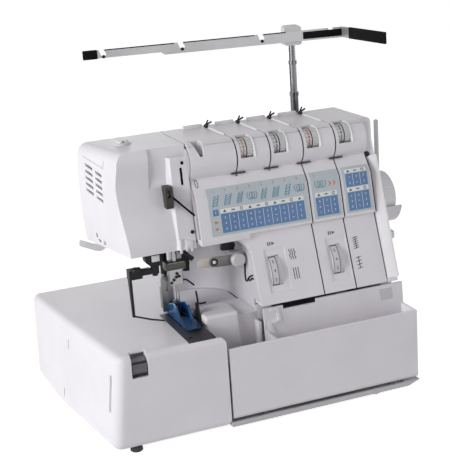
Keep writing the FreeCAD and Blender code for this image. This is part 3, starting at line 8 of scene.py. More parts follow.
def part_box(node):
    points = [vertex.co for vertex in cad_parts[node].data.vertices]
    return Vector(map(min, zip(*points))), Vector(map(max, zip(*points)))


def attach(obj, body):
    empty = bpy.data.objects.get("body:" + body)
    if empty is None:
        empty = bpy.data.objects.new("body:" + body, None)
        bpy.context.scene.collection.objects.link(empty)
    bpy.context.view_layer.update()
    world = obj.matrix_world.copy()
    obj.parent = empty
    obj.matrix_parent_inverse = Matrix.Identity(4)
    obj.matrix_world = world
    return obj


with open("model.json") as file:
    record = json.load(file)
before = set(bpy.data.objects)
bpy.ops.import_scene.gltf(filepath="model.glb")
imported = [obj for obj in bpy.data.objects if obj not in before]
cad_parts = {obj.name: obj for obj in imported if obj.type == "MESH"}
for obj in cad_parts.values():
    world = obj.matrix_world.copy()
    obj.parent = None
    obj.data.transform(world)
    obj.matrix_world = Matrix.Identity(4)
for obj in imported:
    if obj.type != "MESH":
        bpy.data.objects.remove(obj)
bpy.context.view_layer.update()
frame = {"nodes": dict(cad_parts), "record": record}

# Drawing places are written in millimetres from the bed's front left corner on the table top,
# as the solids were drawn. The needle plate's corner gives the shift to the shared frame.
TO_METRES = 0.001
TO_MILLIMETRES = 1000
PLATE_LEFT = 0.074
PLATE_FRONT = 0.004
PLATE_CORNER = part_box("needle_plate")[0]
SHIFT = Vector((PLATE_CORNER.x - PLATE_LEFT, PLATE_CORNER.y - PLATE_FRONT, 0.0))

TO_FRONT = (0, -1, 0)
TO_BACK = (0, 1, 0)
TO_RIGHT = (1, 0, 0)
UP = (0, 0, 1)


def at(x, y, z):
    """Drawing place in the shared frame."""
    return Vector((x, y, z)) * TO_METRES + SHIFT


# Materials

TONE_SCALE, TONE_DETAIL = 22.0, 4.0
TONE_FIRST, TONE_LAST = 0.35, 0.65
GLOSS_SCALE, GLOSS_DETAIL = 60.0, 3.0
GLOSS_LOW, GLOSS_HIGH = 0.82, 1.18
GRAIN_SCALE, GRAIN_DETAIL = 900.0, 2.0
GRAIN_STRENGTH = 0.25
GRAIN_DEPTH = 0.00004


def material(name):
    """New material: its nodes and links, its shader and the object's own places for patterns."""
    made = bpy.data.materials.new(name)
    made.use_nodes = True
    nodes, links = made.node_tree.nodes, made.node_tree.links
    nodes.clear()
    shader = nodes.new("ShaderNodeBsdfPrincipled")
    output = nodes.new("ShaderNodeOutputMaterial")
    links.new(shader.outputs["BSDF"], output.inputs["Surface"])
    place = nodes.new("ShaderNodeTexCoord")
    return made, nodes, links, shader, place.outputs["Object"]


def noise(nodes, links, place, scale, detail, stretch):
    """Noise over the surface, drawn out along an axis where a stretch is given."""
    texture = nodes.new("ShaderNodeTexNoise")
    texture.inputs["Scale"].default_value = scale
    texture.inputs["Detail"].default_value = detail
    if stretch:
        mapping = nodes.new("ShaderNodeMapping")
        mapping.inputs["Scale"].default_value = stretch
        links.new(place, mapping.inputs["Vector"])
        place = mapping.outputs["Vector"]
    links.new(place, texture.inputs["Vector"])
    return texture.outputs["Fac"]


def ramp(nodes, links, value, low, high):
    """Colour between two tones."""
    made = nodes.new("ShaderNodeValToRGB")
    first, last = made.color_ramp.elements
    first.position, first.color = TONE_FIRST, (*low, 1)
    last.position, last.color = TONE_LAST, (*high, 1)
    links.new(value, made.inputs["Fac"])
    return made.outputs["Color"]


def spread(nodes, links, value, low, high):
    """Value carried into a range."""
    made = nodes.new("ShaderNodeMapRange")
    made.inputs["To Min"].default_value = low
    made.inputs["To Max"].default_value = high
    links.new(value, made.inputs["Value"])
    return made.outputs["Result"]


def bump(nodes, links, shader, value, depth):
    """Fine grain in the surface's normal."""
    made = nodes.new("ShaderNodeBump")
    made.inputs["Strength"].default_value = GRAIN_STRENGTH
    made.inputs["Distance"].default_value = depth
    links.new(value, made.inputs["Height"])
    links.new(made.outputs["Normal"], shader.inputs["Normal"])


def finish(name, colour, roughness, metal=0.0, grain=GRAIN_SCALE, depth=GRAIN_DEPTH, vary=0.05,
           stretch=None, mirror=0.5, streak=None):
    """Moulded, painted or metal surface: mottled tone, uneven gloss and a fine grain; tone drawn out into
    strong bands is a painted reflection.
    """
    made, nodes, links, shader, place = material(name)
    # Tone drawn out into strong bands along an axis, where given, is a painted reflection
    tone = noise(nodes, links, place, TONE_SCALE, TONE_DETAIL, streak)
    low = tuple(max(c * (1 - vary), 0.0) for c in colour)
    high = tuple(min(c * (1 + vary), 1.0) for c in colour)
    links.new(ramp(nodes, links, tone, low, high), shader.inputs["Base Color"])
    gloss = noise(nodes, links, place, GLOSS_SCALE, GLOSS_DETAIL, stretch)
    gloss = spread(nodes, links, gloss, roughness * GLOSS_LOW, roughness * GLOSS_HIGH)
    links.new(gloss, shader.inputs["Roughness"])
    bump(nodes, links, shader, noise(nodes, links, place, grain, GRAIN_DETAIL, stretch), depth)
    shader.inputs["Metallic"].default_value = metal
    shader.inputs["Specular IOR Level"].default_value = mirror
    return made


def finishes(**looks):
    """Materials by name from (colour, roughness) and what else sets each apart."""
    return {name: finish(name, colour, roughness, **more)
            for name, (colour, roughness, more) in looks.items()}


# One finish for each material slot of the record
MATERIALS = finishes(
    shell_white=((0.80, 0.775, 0.815), 0.34, dict(vary=0.02, mirror=0.3)),
    rubber_black=((0.035, 0.035, 0.037), 0.8, dict(grain=400, vary=0.2)),
    latch_grey=((0.030, 0.029, 0.036), 0.5, dict(vary=0.12, mirror=0.35)),
    frame_aluminium=((0.55, 0.56, 0.57), 0.45, dict(metal=1.0, grain=350, depth=0.0001)),
    plate_dark=((0.055, 0.057, 0.065), 0.4, dict(metal=0.5, grain=260, vary=0.15, stretch=(1, 14, 1))),
    bright_steel=((0.34, 0.34, 0.35), 0.26, dict(metal=1.0, grain=500, vary=0.06)),
    trim_black=((0.010, 0.010, 0.012), 0.45, dict(vary=0.2, mirror=0.22)),
    print_plate=((0.50, 0.56, 0.60), 0.5, dict(vary=0.04)),
    dial_white=((0.62, 0.61, 0.62), 0.4, dict(vary=0.03)),
    knob_grey=((0.66, 0.65, 0.68), 0.45, dict(vary=0.03)),
    clamp_steel=((0.36, 0.36, 0.36), 0.34, dict(metal=0.85, grain=500, vary=0.08)),
    foot_blue=((0.008, 0.060, 0.17), 0.14, dict(grain=300, vary=0.3, mirror=0.45)),
    lever_grey=((0.78, 0.77, 0.78), 0.45, dict(vary=0.04)),
    lever_white=((0.62, 0.61, 0.62), 0.4, dict(vary=0.04)),
    wheel_grey=((0.83, 0.82, 0.85), 0.45, dict(vary=0.03)),
    motor_steel=((0.10, 0.10, 0.105), 0.45, dict(metal=0.4, vary=0.1)),
    belt_rubber=((0.02, 0.02, 0.02), 0.75, dict(grain=700, vary=0.2)),
    stand_grey=((0.70, 0.69, 0.72), 0.45, dict(vary=0.02)),
    pin_grey=((0.60, 0.60, 0.62), 0.42, dict(vary=0.03)),
    # Painted reflection: strong tone bands drawn out along the pole stand in for reflected dark and light
    # surroundings
    pole_steel=((0.21, 0.21, 0.22), 0.2,
                dict(metal=1.0, grain=260, vary=0.85, stretch=(10, 10, 1), streak=(16, 16, 0.1))),
    bracket_grey=((0.62, 0.61, 0.63), 0.42, dict(vary=0.04)),
    clip_dark=((0.040, 0.039, 0.036), 0.5, dict(vary=0.12, mirror=0.25)),
    bar_grey=((0.46, 0.46, 0.475), 0.34, dict(metal=0.55, grain=240, vary=0.06, stretch=(1, 8, 8))),
)

# Nodes that look a little different from their slot; the throat cover and the base pan are darker as painted
# shade, the presser lever paler as painted light
OWN_FINISH = {
    # Painted shade: the throat wall is darker than the shell because it lies in the arm's shadow
    "throat_cover": finish("throat_shade", (0.60, 0.58, 0.615), 0.55, vary=0.03),
    # Painted shade: the base pan is darker because it lies in shade under the cover
    "base_pan": finish("pan_shade", (0.54, 0.525, 0.55), 0.5, vary=0.03),
    "cover_hinges": finish("hinge_grey", (0.30, 0.295, 0.31), 0.5, vary=0.05),
    # Painted light: the presser lever is paler to make up for the shade it sits in
    "presser_lever": finish("lever_pale", (0.92, 0.91, 0.92), 0.45, vary=0.03),
    "upper_knife": finish("knife_black", (0.012, 0.012, 0.013), 0.4, metal=0.3, vary=0.15, mirror=0.3),
    "presser_bar": finish("shank_steel", (0.24, 0.24, 0.245), 0.32, metal=0.9, grain=420, vary=0.12),
}
SLOT_OF = {entry["node"]: entry["material_slot"] for entry in frame["record"]["subparts"]}
for node, piece in frame["nodes"].items():
    piece.data.materials.clear()
    piece.data.materials.append(OWN_FINISH.get(node) or MATERIALS[SLOT_OF[node]])

# Finishes of the small trims and inks
TRIMS = finishes(
    # Painted highlight: paler than the shell to stand in for the light on the cheek's rounded edge
    cheek_pale=((0.95, 0.93, 0.96), 0.34, dict(vary=0.02, mirror=0.3)),
    ink_blue=((0.10, 0.20, 0.40), 0.5, dict(vary=0.06)),
    ink_pale=((0.80, 0.81, 0.82), 0.5, dict(vary=0.03)),
    ink_teal=((0.17, 0.31, 0.41), 0.5, dict(vary=0.08)),
    ink_slate=((0.05, 0.06, 0.08), 0.5, dict(vary=0.08)),
    ink_orange=((0.62, 0.24, 0.05), 0.5, dict(vary=0.06)),
    ink_red=((0.50, 0.05, 0.03), 0.5, dict(vary=0.06)),
    ink_brown=((0.36, 0.16, 0.03), 0.5, dict(vary=0.08)),
    ink_navy=((0.03, 0.05, 0.13), 0.5, dict(vary=0.10)),
    ink_green=((0.02, 0.10, 0.04), 0.5, dict(vary=0.10)),
    ink_grey=((0.09, 0.09, 0.10), 0.5, dict(vary=0.06)),
    # Grey for the head's seam line, and painted shade in the head's gap
    seam_grey=((0.50, 0.49, 0.52), 0.5, dict(vary=0.04)),
    olive=((0.070, 0.069, 0.058), 0.42, dict(metal=0.3, grain=500, vary=0.10)),
    strip_steel=((0.15, 0.145, 0.14), 0.36, dict(metal=0.5, grain=500, vary=0.12)),
    cream=((0.55, 0.51, 0.45), 0.45, dict(vary=0.04)),
    # Painted shade: darker grey standing in for the shade in the tray wall's recess
    recess_grey=((0.62, 0.60, 0.63), 0.5, dict(vary=0.03)),
    # Painted highlight: pale blue for the lit edges of the presser foot
    foot_edge=((0.16, 0.33, 0.46), 0.2, dict(grain=300, vary=0.15)),
    latch_pale=((0.17, 0.17, 0.185), 0.42, dict(vary=0.10)),
    # Deep matt black, for black parts and for painted shade in slits, slots and the notch floor
    soot=((0.006, 0.006, 0.007), 0.85, dict(grain=500, vary=0.2, mirror=0.1)),
)


# Mesh tools, in drawing millimetres

SHARP_ANGLE = math.radians(35)
BEVEL_STEPS = 2
CAPSULE_STEPS = 8
BEND_STEPS = 6
HOOP_SOFT_EDGE = 0.25
SCREW_SIDES = 20
PAN_HEAD = ((0, 1), (0.45, 1), (0.85, 0.8), (1, 0.45))  # share of the height, share of the radius


def emit(name, work, body, slot, look=None):
    """Finished piece from a mesh in drawing millimetres, riding on a body."""
    bmesh.ops.recalc_face_normals(work, faces=work.faces)
    for vertex in work.verts:
        vertex.co = at(*vertex.co)
    mesh = bpy.data.meshes.new(name)
    work.to_mesh(mesh)
    work.free()
    mesh.shade_smooth()
    mesh.set_sharp_from_angle(angle=SHARP_ANGLE)
    mesh.materials.append(TRIMS.get(look) or MATERIALS[look or slot])
    piece = bpy.data.objects.new(name, mesh)
    bpy.context.scene.collection.objects.link(piece)
    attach(piece, body)


def close_sides(work, low, high):
    """Wall between two like rings of points."""
    for i in range(len(low)):
        j = (i + 1) % len(low)
        work.faces.new((low[i], low[j], high[j], high[i]))


def close_solid(work, low, high):
    """Closed solid between two like rings of points."""
    work.faces.new(low)
    work.faces.new(high)
    close_sides(work, low, high)


def close_row(work, rings):
    """Closed solid through a row of like rings of points."""
    for low, high in zip(rings, rings[1:]):
        close_sides(work, low, high)
    work.faces.new(rings[0])
    work.faces.new(rings[-1])


def prism(work, outline, push, bevel=0.0):
    """Straight closed solid on a flat outline, with its edges broken where a bevel is given."""
    low = [work.verts.new(Vector(point)) for point in outline]
    high = [work.verts.new(Vector(point) + Vector(push)) for point in outline]
    close_solid(work, low, high)
    if bevel:
        # A dict, because a set of edges has no fixed order
        edges = dict.fromkeys(edge for vertex in low + high for edge in vertex.link_edges)
        bmesh.ops.bevel(work, geom=list(edges), offset=bevel, segments=BEVEL_STEPS, profile=0.5,
                        affect="EDGES")


def block(work, xs, ys, foot, rise, bevel=0.0):
    """Upright box over a rectangle, from its foot."""
    (x0, x1), (y0, y1) = xs, ys
    prism(work, ((x0, y0, foot), (x1, y0, foot), (x1, y1, foot), (x0, y1, foot)), (0, 0, rise), bevel)


def front_plate(work, points, front, deep, bevel):
    """Upright plate on an outline of (x, z) points, from its front face."""
    prism(work, [(x, front, z) for x, z in points], (0, deep, 0), bevel)


def side_plate(work, section, left, wide):
    """Upright plate on a section of (y, z) points, from its left face."""
    prism(work, [(left, y, z) for y, z in section], (wide, 0, 0))


def capsule(start, end, radius):
    """Outline of a round-ended strip between two points."""
    heading = math.atan2(end[1] - start[1], end[0] - start[0])
    points = []
    for centre, first in ((end, heading - math.pi / 2), (start, heading + math.pi / 2)):
        for i in range(CAPSULE_STEPS + 1):
            angle = first + math.pi * i / CAPSULE_STEPS
            points.append((centre[0] + radius * math.cos(angle), centre[1] + radius * math.sin(angle)))
    return points


def round_angles(sides):
    """Angles of the corners of a round with so many sides."""
    return [2 * math.pi * k / sides for k in range(sides)]


def axes_about(axis):
    """Unit axis and two directions square to it."""
    axis = Vector(axis).normalized()
    side = axis.orthogonal().normalized()
    return axis, side, axis.cross(side)


def tube(work, path, radius, sides=10):
    """Round wire along a path, closed at both ends."""
    path = [Vector(point) for point in path]
    heading = (path[1] - path[0]).normalized()
    side = heading.orthogonal().normalized()
    rings = []
    for i, point in enumerate(path):
        before, after = path[max(i - 1, 0)], path[min(i + 1, len(path) - 1)]
        new_heading = (after - before).normalized()
        side = heading.rotation_difference(new_heading) @ side
        heading = new_heading
        other = heading.cross(side)
        rings.append([work.verts.new(point + (side * math.cos(a) + other * math.sin(a)) * radius)
                      for a in round_angles(sides)])
    close_row(work, rings)


def bent(*points):
    """Smooth path through a few points of a bent wire."""
    points = [Vector(point) for point in points]
    padded = [points[0] * 2 - points[1]] + points + [points[-1] * 2 - points[-2]]
    path = []
    for a, b, c, d in zip(padded, padded[1:], padded[2:], padded[3:]):
        for i in range(BEND_STEPS):
            t = i / BEND_STEPS
            path.append(0.5 * (2 * b + (c - a) * t + (2 * a - 5 * b + 4 * c - d) * t ** 2
                               + (3 * b - a - 3 * c + d) * t ** 3))
    return path + [points[-1]]


def turned(work, profile, origin, axis, sides=28):
    """Round body from (along, radius) pairs, closed by flat ends."""
    axis, side, other = axes_about(axis)
    rings = []
    for along, radius in profile:
        centre = Vector(origin) + axis * along
        rings.append([work.verts.new(centre + (side * math.cos(a) + other * math.sin(a)) * radius)
                      for a in round_angles(sides)])
    close_row(work, rings)


def hoop(work, origin, axis, length, inner, outer, sides=64):
    """Plain ring of a given length round an axis, with softened outer edges."""
    axis, side, other = axes_about(axis)
    soft = min(HOOP_SOFT_EDGE, length / 4, (outer - inner) / 2)
    section = ((0, inner), (0, outer - soft), (soft, outer), (length - soft, outer), (length, outer - soft),
               (length, inner))
    rings = []
    for angle in round_angles(sides):
        out = side * math.cos(angle) + other * math.sin(angle)
        rings.append([work.verts.new(Vector(origin) + axis * along + out * radius)
                      for along, radius in section])
    for low, high in zip(rings, rings[1:] + rings[:1]):
        close_sides(work, low, high)


def screw_head(work, origin, axis, radius, height):
    """Plain pan head standing on its seat."""
    turned(work, [(height * up, radius * out) for up, out in PAN_HEAD], origin, axis, SCREW_SIDES)


# Printing on the faces. A layer is the two heights off a face between which the ink lies.

INK = 0.12
SINK = 0.1
OVERLAP = 0.05
PRINT_PLATE_THICK = 0.8
FACE_INK = (-SINK, INK)
CHART_INK = (PRINT_PLATE_THICK - SINK, PRINT_PLATE_THICK + INK)
CHART_OVERPRINT = (PRINT_PLATE_THICK + INK - OVERLAP, PRINT_PLATE_THICK + 2 * INK)
SIGN_CURVE_STEPS = 3
SIGN_HALF_THICK = 0.5
SIGN_WELD = 0.002


def slope(y0, z0, y1, z1):
    """Places on a sloping front face: x, way up the face from its foot, way out from it."""
    foot = Vector((0, y0, z0))
    along = (Vector((0, y1, z1)) - foot).normalized()
    out = Vector((0, -along.z, along.y))
    return lambda x, up, off: foot + Vector((x, 0, 0)) + along * up + out * off


def drum(axle, radius):
    """Places on the rim of a drum on an axle at (y, z): x, way round from the front, way out from it."""
    def place(x, round_by, off):
        angle, reach = round_by / radius, radius + off
        return Vector((x, axle[0] - reach * math.cos(angle), axle[1] + reach * math.sin(angle)))
    return place


def ink_patch(work, place, outline, layer):
    """Filled outline on a face."""
    low, high = [[work.verts.new(place(u, v, off)) for u, v in outline] for off in layer]
    close_solid(work, low, high)


def ink_block(work, place, u0, u1, v0, v1, layer):
    """Filled rectangle on a face."""
    ink_patch(work, place, ((u0, v0), (u1, v0), (u1, v1), (u0, v1)), layer)


def ink_line(work, place, path, width, layer):
    """Line of one width along a path on a face."""
    low, top = layer
    rows = []
    for i, (u, v) in enumerate(path):
        before, after = path[max(i - 1, 0)], path[min(i + 1, len(path) - 1)]
        du, dv = after[0] - before[0], after[1] - before[1]
        half = width / 2 / math.hypot(du, dv)
        left, right = (u - dv * half, v + du * half), (u + dv * half, v - du * half)
        corners = ((*left, low), (*right, low), (*right, top), (*left, top))
        rows.append([work.verts.new(place(*corner)) for corner in corners])
    close_row(work, rows)


def ink_sign(work, place, text, size, u, v, layer, weight=0.0):
    """Digit on a face, centred at a place, with its strokes made bolder by a weight."""
    low, top = layer
    curve = bpy.data.curves.new("sign", "FONT")
    curve.body = text
    curve.size = size
    curve.align_x = "CENTER"
    curve.align_y = "CENTER"
    curve.resolution_u = SIGN_CURVE_STEPS
    curve.extrude = SIGN_HALF_THICK
    curve.offset = weight
    holder = bpy.data.objects.new("sign", curve)
    mesh = bpy.data.meshes.new_from_object(holder)
    corners = [work.verts.new(place(u + p.co.x, v + p.co.y, low + (p.co.z + SIGN_HALF_THICK) * (top - low)))
               for p in mesh.vertices]
    for face in mesh.polygons:
        work.faces.new([corners[i] for i in face.vertices])
    bmesh.ops.remove_doubles(work, verts=corners, dist=SIGN_WELD)
    bpy.data.objects.remove(holder)
    bpy.data.curves.remove(curve)
    bpy.data.meshes.remove(mesh)


CHART_FLAT = slope(51.6, 189.1, 60.6, 232.0)
BROW_FLAT = slope(60.6, 232.0, 74.3, 249.2)
LOWER = slope(30.4, 115.7, 55.8, 186.2)
TRAY_WALL = slope(26.3, 60.0, 29.1, 100.0)
THREAD_PLATE = slope(62.72, 180.0, 72.93, 270.0)
CHEEK = slope(29.9, 119.0, 74.6, 249.0)

CHART_LENGTH = 43.83
CHART_TOP = 52.5
BROW_BEND = 2.4
BROW_STEPS = (40.2, 42.6, 43.2, 43.8, 44.4, 45.0, 48.0, CHART_TOP)
PRINT_PLATES = ((124.0, 234.0), (240.0, 271.5), (277.5, 309.0))
FIELD_LAYER = (-0.4, PRINT_PLATE_THICK + 0.02)
ICON_ROW = 38.6
ICON_FIRST, ICON_PITCH, ICON_COUNT = 132.5, 13.4, 8
NUMBER_ROW = 48.6
NUMBER_SIZE = 4.6
TABLE_HEAD, TABLE_FOOT = 25.4, 5.2
TABLE_ROWS = (20.6, 15.0, 9.4)
TABLES = (  # left, right, head, foot, columns, rows of digits
    (136.0, 229.5, TABLE_HEAD, TABLE_FOOT, 10, TABLE_ROWS),
    (243.0, 268.5, TABLE_HEAD, TABLE_FOOT, 3, TABLE_ROWS),
    (280.5, 306.0, 45.0, 30.6, 3, (41.0, 34.6)),
    (280.5, 306.0, TABLE_HEAD, TABLE_FOOT, 3, TABLE_ROWS),
)
THREAD_LINE = 0.9


def chart(x, up, off):
    """Places on the printed face, which bends back over the brow."""
    share = min(max((up - CHART_LENGTH) / BROW_BEND + 0.5, 0.0), 1.0)
    foot = CHART_FLAT(x, up, 0) if up <= CHART_LENGTH else BROW_FLAT(x, up - CHART_LENGTH, 0)
    out = (CHART_FLAT(0, 0, 1) - CHART_FLAT(0, 0, 0)).lerp(BROW_FLAT(0, 0, 1) - BROW_FLAT(0, 0, 0), share)
    return foot + out.normalized() * off


def stitch_icon(work, x, up, bars, wide):
    """Slanting ladder of thread between two seam lines."""
    lean, tall, steps, rail_width = 3.4, 11, 8, 1.1
    reach, slant = 9.2, 0.8
    for edge in (-wide / 2, wide / 2):
        rail = [(x + edge + lean * (i / steps - 0.5), up - tall / 2 + tall * i / steps)
                for i in range(steps + 1)]
        ink_line(work, chart, rail, rail_width, CHART_INK)
    for i in range(bars):
        rise = -reach / 2 + reach * i / (bars - 1)
        shift = lean * rise / tall
        rung = ((x - wide / 2 + shift, up + rise - slant), (x + wide / 2 + shift, up + rise + slant))
        ink_line(work, chart, rung, THREAD_LINE, CHART_INK)


def thread_loops(work, x, up, turns, wide):
    """Row of open thread loops."""
    steps, swing, half_tall = 14, 2.2, 3.6
    path = []
    for i in range(turns * steps + 1):
        angle = 2 * math.pi * i / steps
        path.append((x - wide / 2 + wide * i / (turns * steps) - swing * math.sin(angle),
                     up + half_tall * math.cos(angle)))
    ink_line(work, chart, path, THREAD_LINE, CHART_INK)


def header_marks(work, x0, x1, up, count):
    """Small shapes along a heading: triangles, bars and open rings in turn."""
    half, bar_half, radius, ring_width, ring_step = 1.8, 0.6, 1.4, 0.7, 0.5236
    for i in range(count):
        x = x0 + (x1 - x0) * (i + 0.5) / count
        if i % 3 == 0:
            corners = ((x - half, up - 1.3), (x + half, up - 1.3), (x, up + 1.5))
            ink_patch(work, chart, corners, CHART_OVERPRINT)
        elif i % 3 == 1:
            ink_block(work, chart, x - half, x + half, up - bar_half, up + bar_half, CHART_OVERPRINT)
        else:
            ring = [(x + radius * math.cos(k * ring_step), up + radius * math.sin(k * ring_step))
                    for k in range(12)]
            ink_line(work, chart, ring, ring_width, CHART_OVERPRINT)


def table_digits(work, x0, x1, rows, columns, first):
    """Digits and dashes in the fields of a table, and the lines between its columns."""
    size, dash_half, dash_thick, rule_half, rule_past = 3.6, 1.1, 0.3, 0.2, 3
    for r, up in enumerate(rows):
        for c in range(columns):
            x = x0 + (x1 - x0) * (c + 0.5) / columns
            if (r + c * 2) % 5 == 3:
                ink_block(work, chart, x - dash_half, x + dash_half, up - dash_thick, up + dash_thick,
                          CHART_OVERPRINT)
            else:
                ink_sign(work, chart, str((first + r * 2 + c * 3) % 7 + 1), size, x, up, CHART_OVERPRINT)
    for c in range(1, columns):
        x = x0 + (x1 - x0) * c / columns
        ink_block(work, chart, x - rule_half, x + rule_half, rows[-1] - rule_past, rows[0] + rule_past,
                  CHART_OVERPRINT)


def make_charts():
    """Generic stitch charts: icons, numbers and tables on the three printed plates."""
    inks = {"field": None, "icons": "ink_teal", "numbers": "ink_orange", "blocks": "ink_blue",
            "headings": "ink_pale", "marks": "ink_slate", "digits": "ink_pale", "accents": "ink_orange"}
    prints = {name: bmesh.new() for name in inks}
    for x0, x1 in PRINT_PLATES:
        ink_line(prints["field"], chart, [((x0 + x1) / 2, up) for up in BROW_STEPS], x1 - x0, FIELD_LAYER)
    for i in range(ICON_COUNT):
        x = ICON_FIRST + ICON_PITCH * i
        if i % 4 == 3:
            thread_loops(prints["icons"], x, ICON_ROW, turns=3, wide=8.0)
        else:
            stitch_icon(prints["icons"], x, ICON_ROW, bars=4 + i % 3, wide=4.4 + i % 2 * 1.2)
        ink_sign(prints["numbers"], chart, str(i + 1), NUMBER_SIZE, x - 1.0, NUMBER_ROW, CHART_INK)
    for x0, x1, head, foot, columns, rows in TABLES:
        middle = (x0 + x1) / 2
        heading = [(middle, head + i * 0.9) for i in range(6)]
        ink_line(prints["headings"], chart, heading, x1 - x0, CHART_INK)
        header_marks(prints["marks"], x0, x1, head + 2.2, columns)
        ground = [(middle, foot + (head - 0.6 - foot) * i / 24) for i in range(25)]
        ink_line(prints["blocks"], chart, ground, x1 - x0, CHART_INK)
        table_digits(prints["digits"], x0, x1, rows, columns, first=int(x0) % 5)
    ink_block(prints["blocks"], chart, 128.0, 134.0, 23.6, 30.0, CHART_INK)
    ink_sign(prints["digits"], chart, "1", 4.8, 131.0, 26.8, CHART_OVERPRINT)
    for up in (17.0, 10.0):
        ink_patch(prints["accents"], chart, ((128.6, up - 1.8), (133.2, up), (128.6, up + 1.8)), CHART_INK)
    thread_loops(prints["icons"], 250.5, ICON_ROW, turns=3, wide=10.0)
    for x in (260.0, 265.0):
        arrow = ((x, 34.4), (x + 3.4, 38.0), (x, 41.6), (x + 1.2, 38.0))
        ink_patch(prints["accents"], chart, arrow, CHART_INK)
    ink_sign(prints["numbers"], chart, "2", NUMBER_SIZE, 245.0, NUMBER_ROW, CHART_INK)
    for name, ink in inks.items():
        emit("chart_" + name, prints[name], "body", "print_plate", ink)


def make_panel_signs():
    """Line drawings beside the two thumb wheels and on the right panel."""
    signs = bmesh.new()
    foot, middle, top = 60.6, 62.5, 64.4
    for x in (187.0, 257.0):
        ink_block(signs, LOWER, x - 3.6, x - 2.4, foot, top, FACE_INK)
        ink_block(signs, LOWER, x - 1.4, x - 0.2, foot, top, FACE_INK)
        ink_patch(signs, LOWER, ((x + 1.0, foot), (x + 4.4, middle), (x + 1.0, top)), FACE_INK)
    for x in (206.4, 209.0, 211.6):
        wave = [(x + 0.7 * math.sin(i * 0.9), 42.5 + 0.78 * i) for i in range(15)]
        ink_line(signs, LOWER, wave, THREAD_LINE, FACE_INK)
        ink_line(signs, LOWER, ((x + 0.6, 21.5), (x + 0.6, 33.5)), THREAD_LINE, FACE_INK)
    rail, rung_half, rung_width = 283.2, 3.0, 0.8
    for foot, rungs in ((41.0, 6), (19.5, 4)):
        ink_line(signs, LOWER, ((rail, foot), (rail, foot + 13)), THREAD_LINE, FACE_INK)
        for i in range(rungs):
            up = foot + 0.8 + 11.4 * i / (rungs - 1)
            rung = ((rail - rung_half, up - 0.6), (rail + rung_half, up + 0.6))
            ink_line(signs, LOWER, rung, rung_width, FACE_INK)
    emit("panel_signs", signs, "body", "shell_white", "ink_grey")


# Dials and thumb wheels

DIAL_LEFTS = (166.9, 204.0, 241.4, 278.9)
DIAL_INKS = ("ink_brown", "ink_navy", "ink_red", "ink_green")
DIAL_AXLE, DIAL_RADIUS = (80.41, 272.01), 11.5
DIAL_DIGITS, DIAL_PITCH, DIAL_FIRST = 10, 4.3, 3
THUMB_WHEELS = (("differential", 187.0), ("stitch_length", 258.0))
THUMB_AXLE, THUMB_RADIUS = (67.44, 138.85), 30.3
THUMB_DIGITS, THUMB_PITCH, THUMB_FIRST, THUMB_START = 7, 9.6, 3, 10.0
THUMB_BAND_LEFT, THUMB_BAND_WIDE = 5.6, 7.6
THUMB_WINDOW = (-5.0, 25.4)


def make_tension_dials():
    """Digits with their ticks on each tension dial, and a black ring as painted shade in the gap between
    scale and rim.
    """
    rim = drum(DIAL_AXLE, DIAL_RADIUS)
    for number, (left, ink) in enumerate(zip(DIAL_LEFTS, DIAL_INKS), 1):
        digits = bmesh.new()
        for i in range(DIAL_DIGITS):
            way = (i - DIAL_FIRST) * DIAL_PITCH
            ink_sign(digits, rim, str(i), 4.9, left + 3.9, way, FACE_INK, weight=0.13)
            ink_line(digits, rim, ((left + 0.6, way), (left + 1.7, way)), 0.6, FACE_INK)
        emit("dial_digits_%d" % number, digits, "dial_%d" % number, "dial_white", ink)
        # Black ring in the gap between scale and rim: painted shade
        ring = bmesh.new()
        hoop(ring, (left + 6.6, *DIAL_AXLE), TO_RIGHT, length=1.3, inner=11.2, outer=11.66)
        emit("dial_ring_%d" % number, ring, "dial_%d" % number, "trim_black")


def make_thumb_wheels():
    """Number band of each thumb wheel, with its digits and frame lines."""
    rim = drum(THUMB_AXLE, THUMB_RADIUS)
    low, high = THUMB_WINDOW
    for name, middle in THUMB_WHEELS:
        band = bmesh.new()
        hoop(band, (middle - THUMB_BAND_LEFT, *THUMB_AXLE), TO_RIGHT, length=THUMB_BAND_WIDE, inner=29.2,
             outer=THUMB_RADIUS, sides=96)
        emit(name + "_band", band, name + "_dial", "knob_grey")
        digits = bmesh.new()
        for i in range(THUMB_DIGITS):
            way = (i - THUMB_FIRST) * THUMB_PITCH + THUMB_START
            ink_sign(digits, rim, str(i + 1), 5.0, middle - 1.8, way, FACE_INK)
        for way in THUMB_WINDOW:
            ink_line(digits, rim, ((middle - 5.6, way), (middle + 2.0, way)), 1.4, FACE_INK)
        for x in (middle - 5.3, middle + 1.7):
            ink_line(digits, rim, [(x, low + (high - low) * i / 16) for i in range(17)], 0.5, FACE_INK)
        emit(name + "_digits", digits, name + "_dial", "knob_grey", "ink_grey")


# Slits, seams and linings of the arm; the dark linings are painted shade

SHOULDER_CENTRE = (88.27, 265.5)
SHOULDER_RADIUS = 21.67
SHOULDER_STEPS = 10
SHOULDER_HIGH, SHOULDER_LOW = 60, -46
SLITS = (162.5, 199.6, 237.0, 274.5)
PANEL_SEAMS = SLITS[2:]
SLIT_HALF = 0.66


def shoulder(inset, first, last):
    """Section points (y, z) round the panel's shoulder, set in from its surface."""
    radius = SHOULDER_RADIUS - inset
    points = []
    for i in range(SHOULDER_STEPS + 1):
        angle = math.radians(first + (last - first) * i / SHOULDER_STEPS)
        points.append((SHOULDER_CENTRE[0] - radius * math.cos(angle),
                       SHOULDER_CENTRE[1] + radius * math.sin(angle)))
    return points


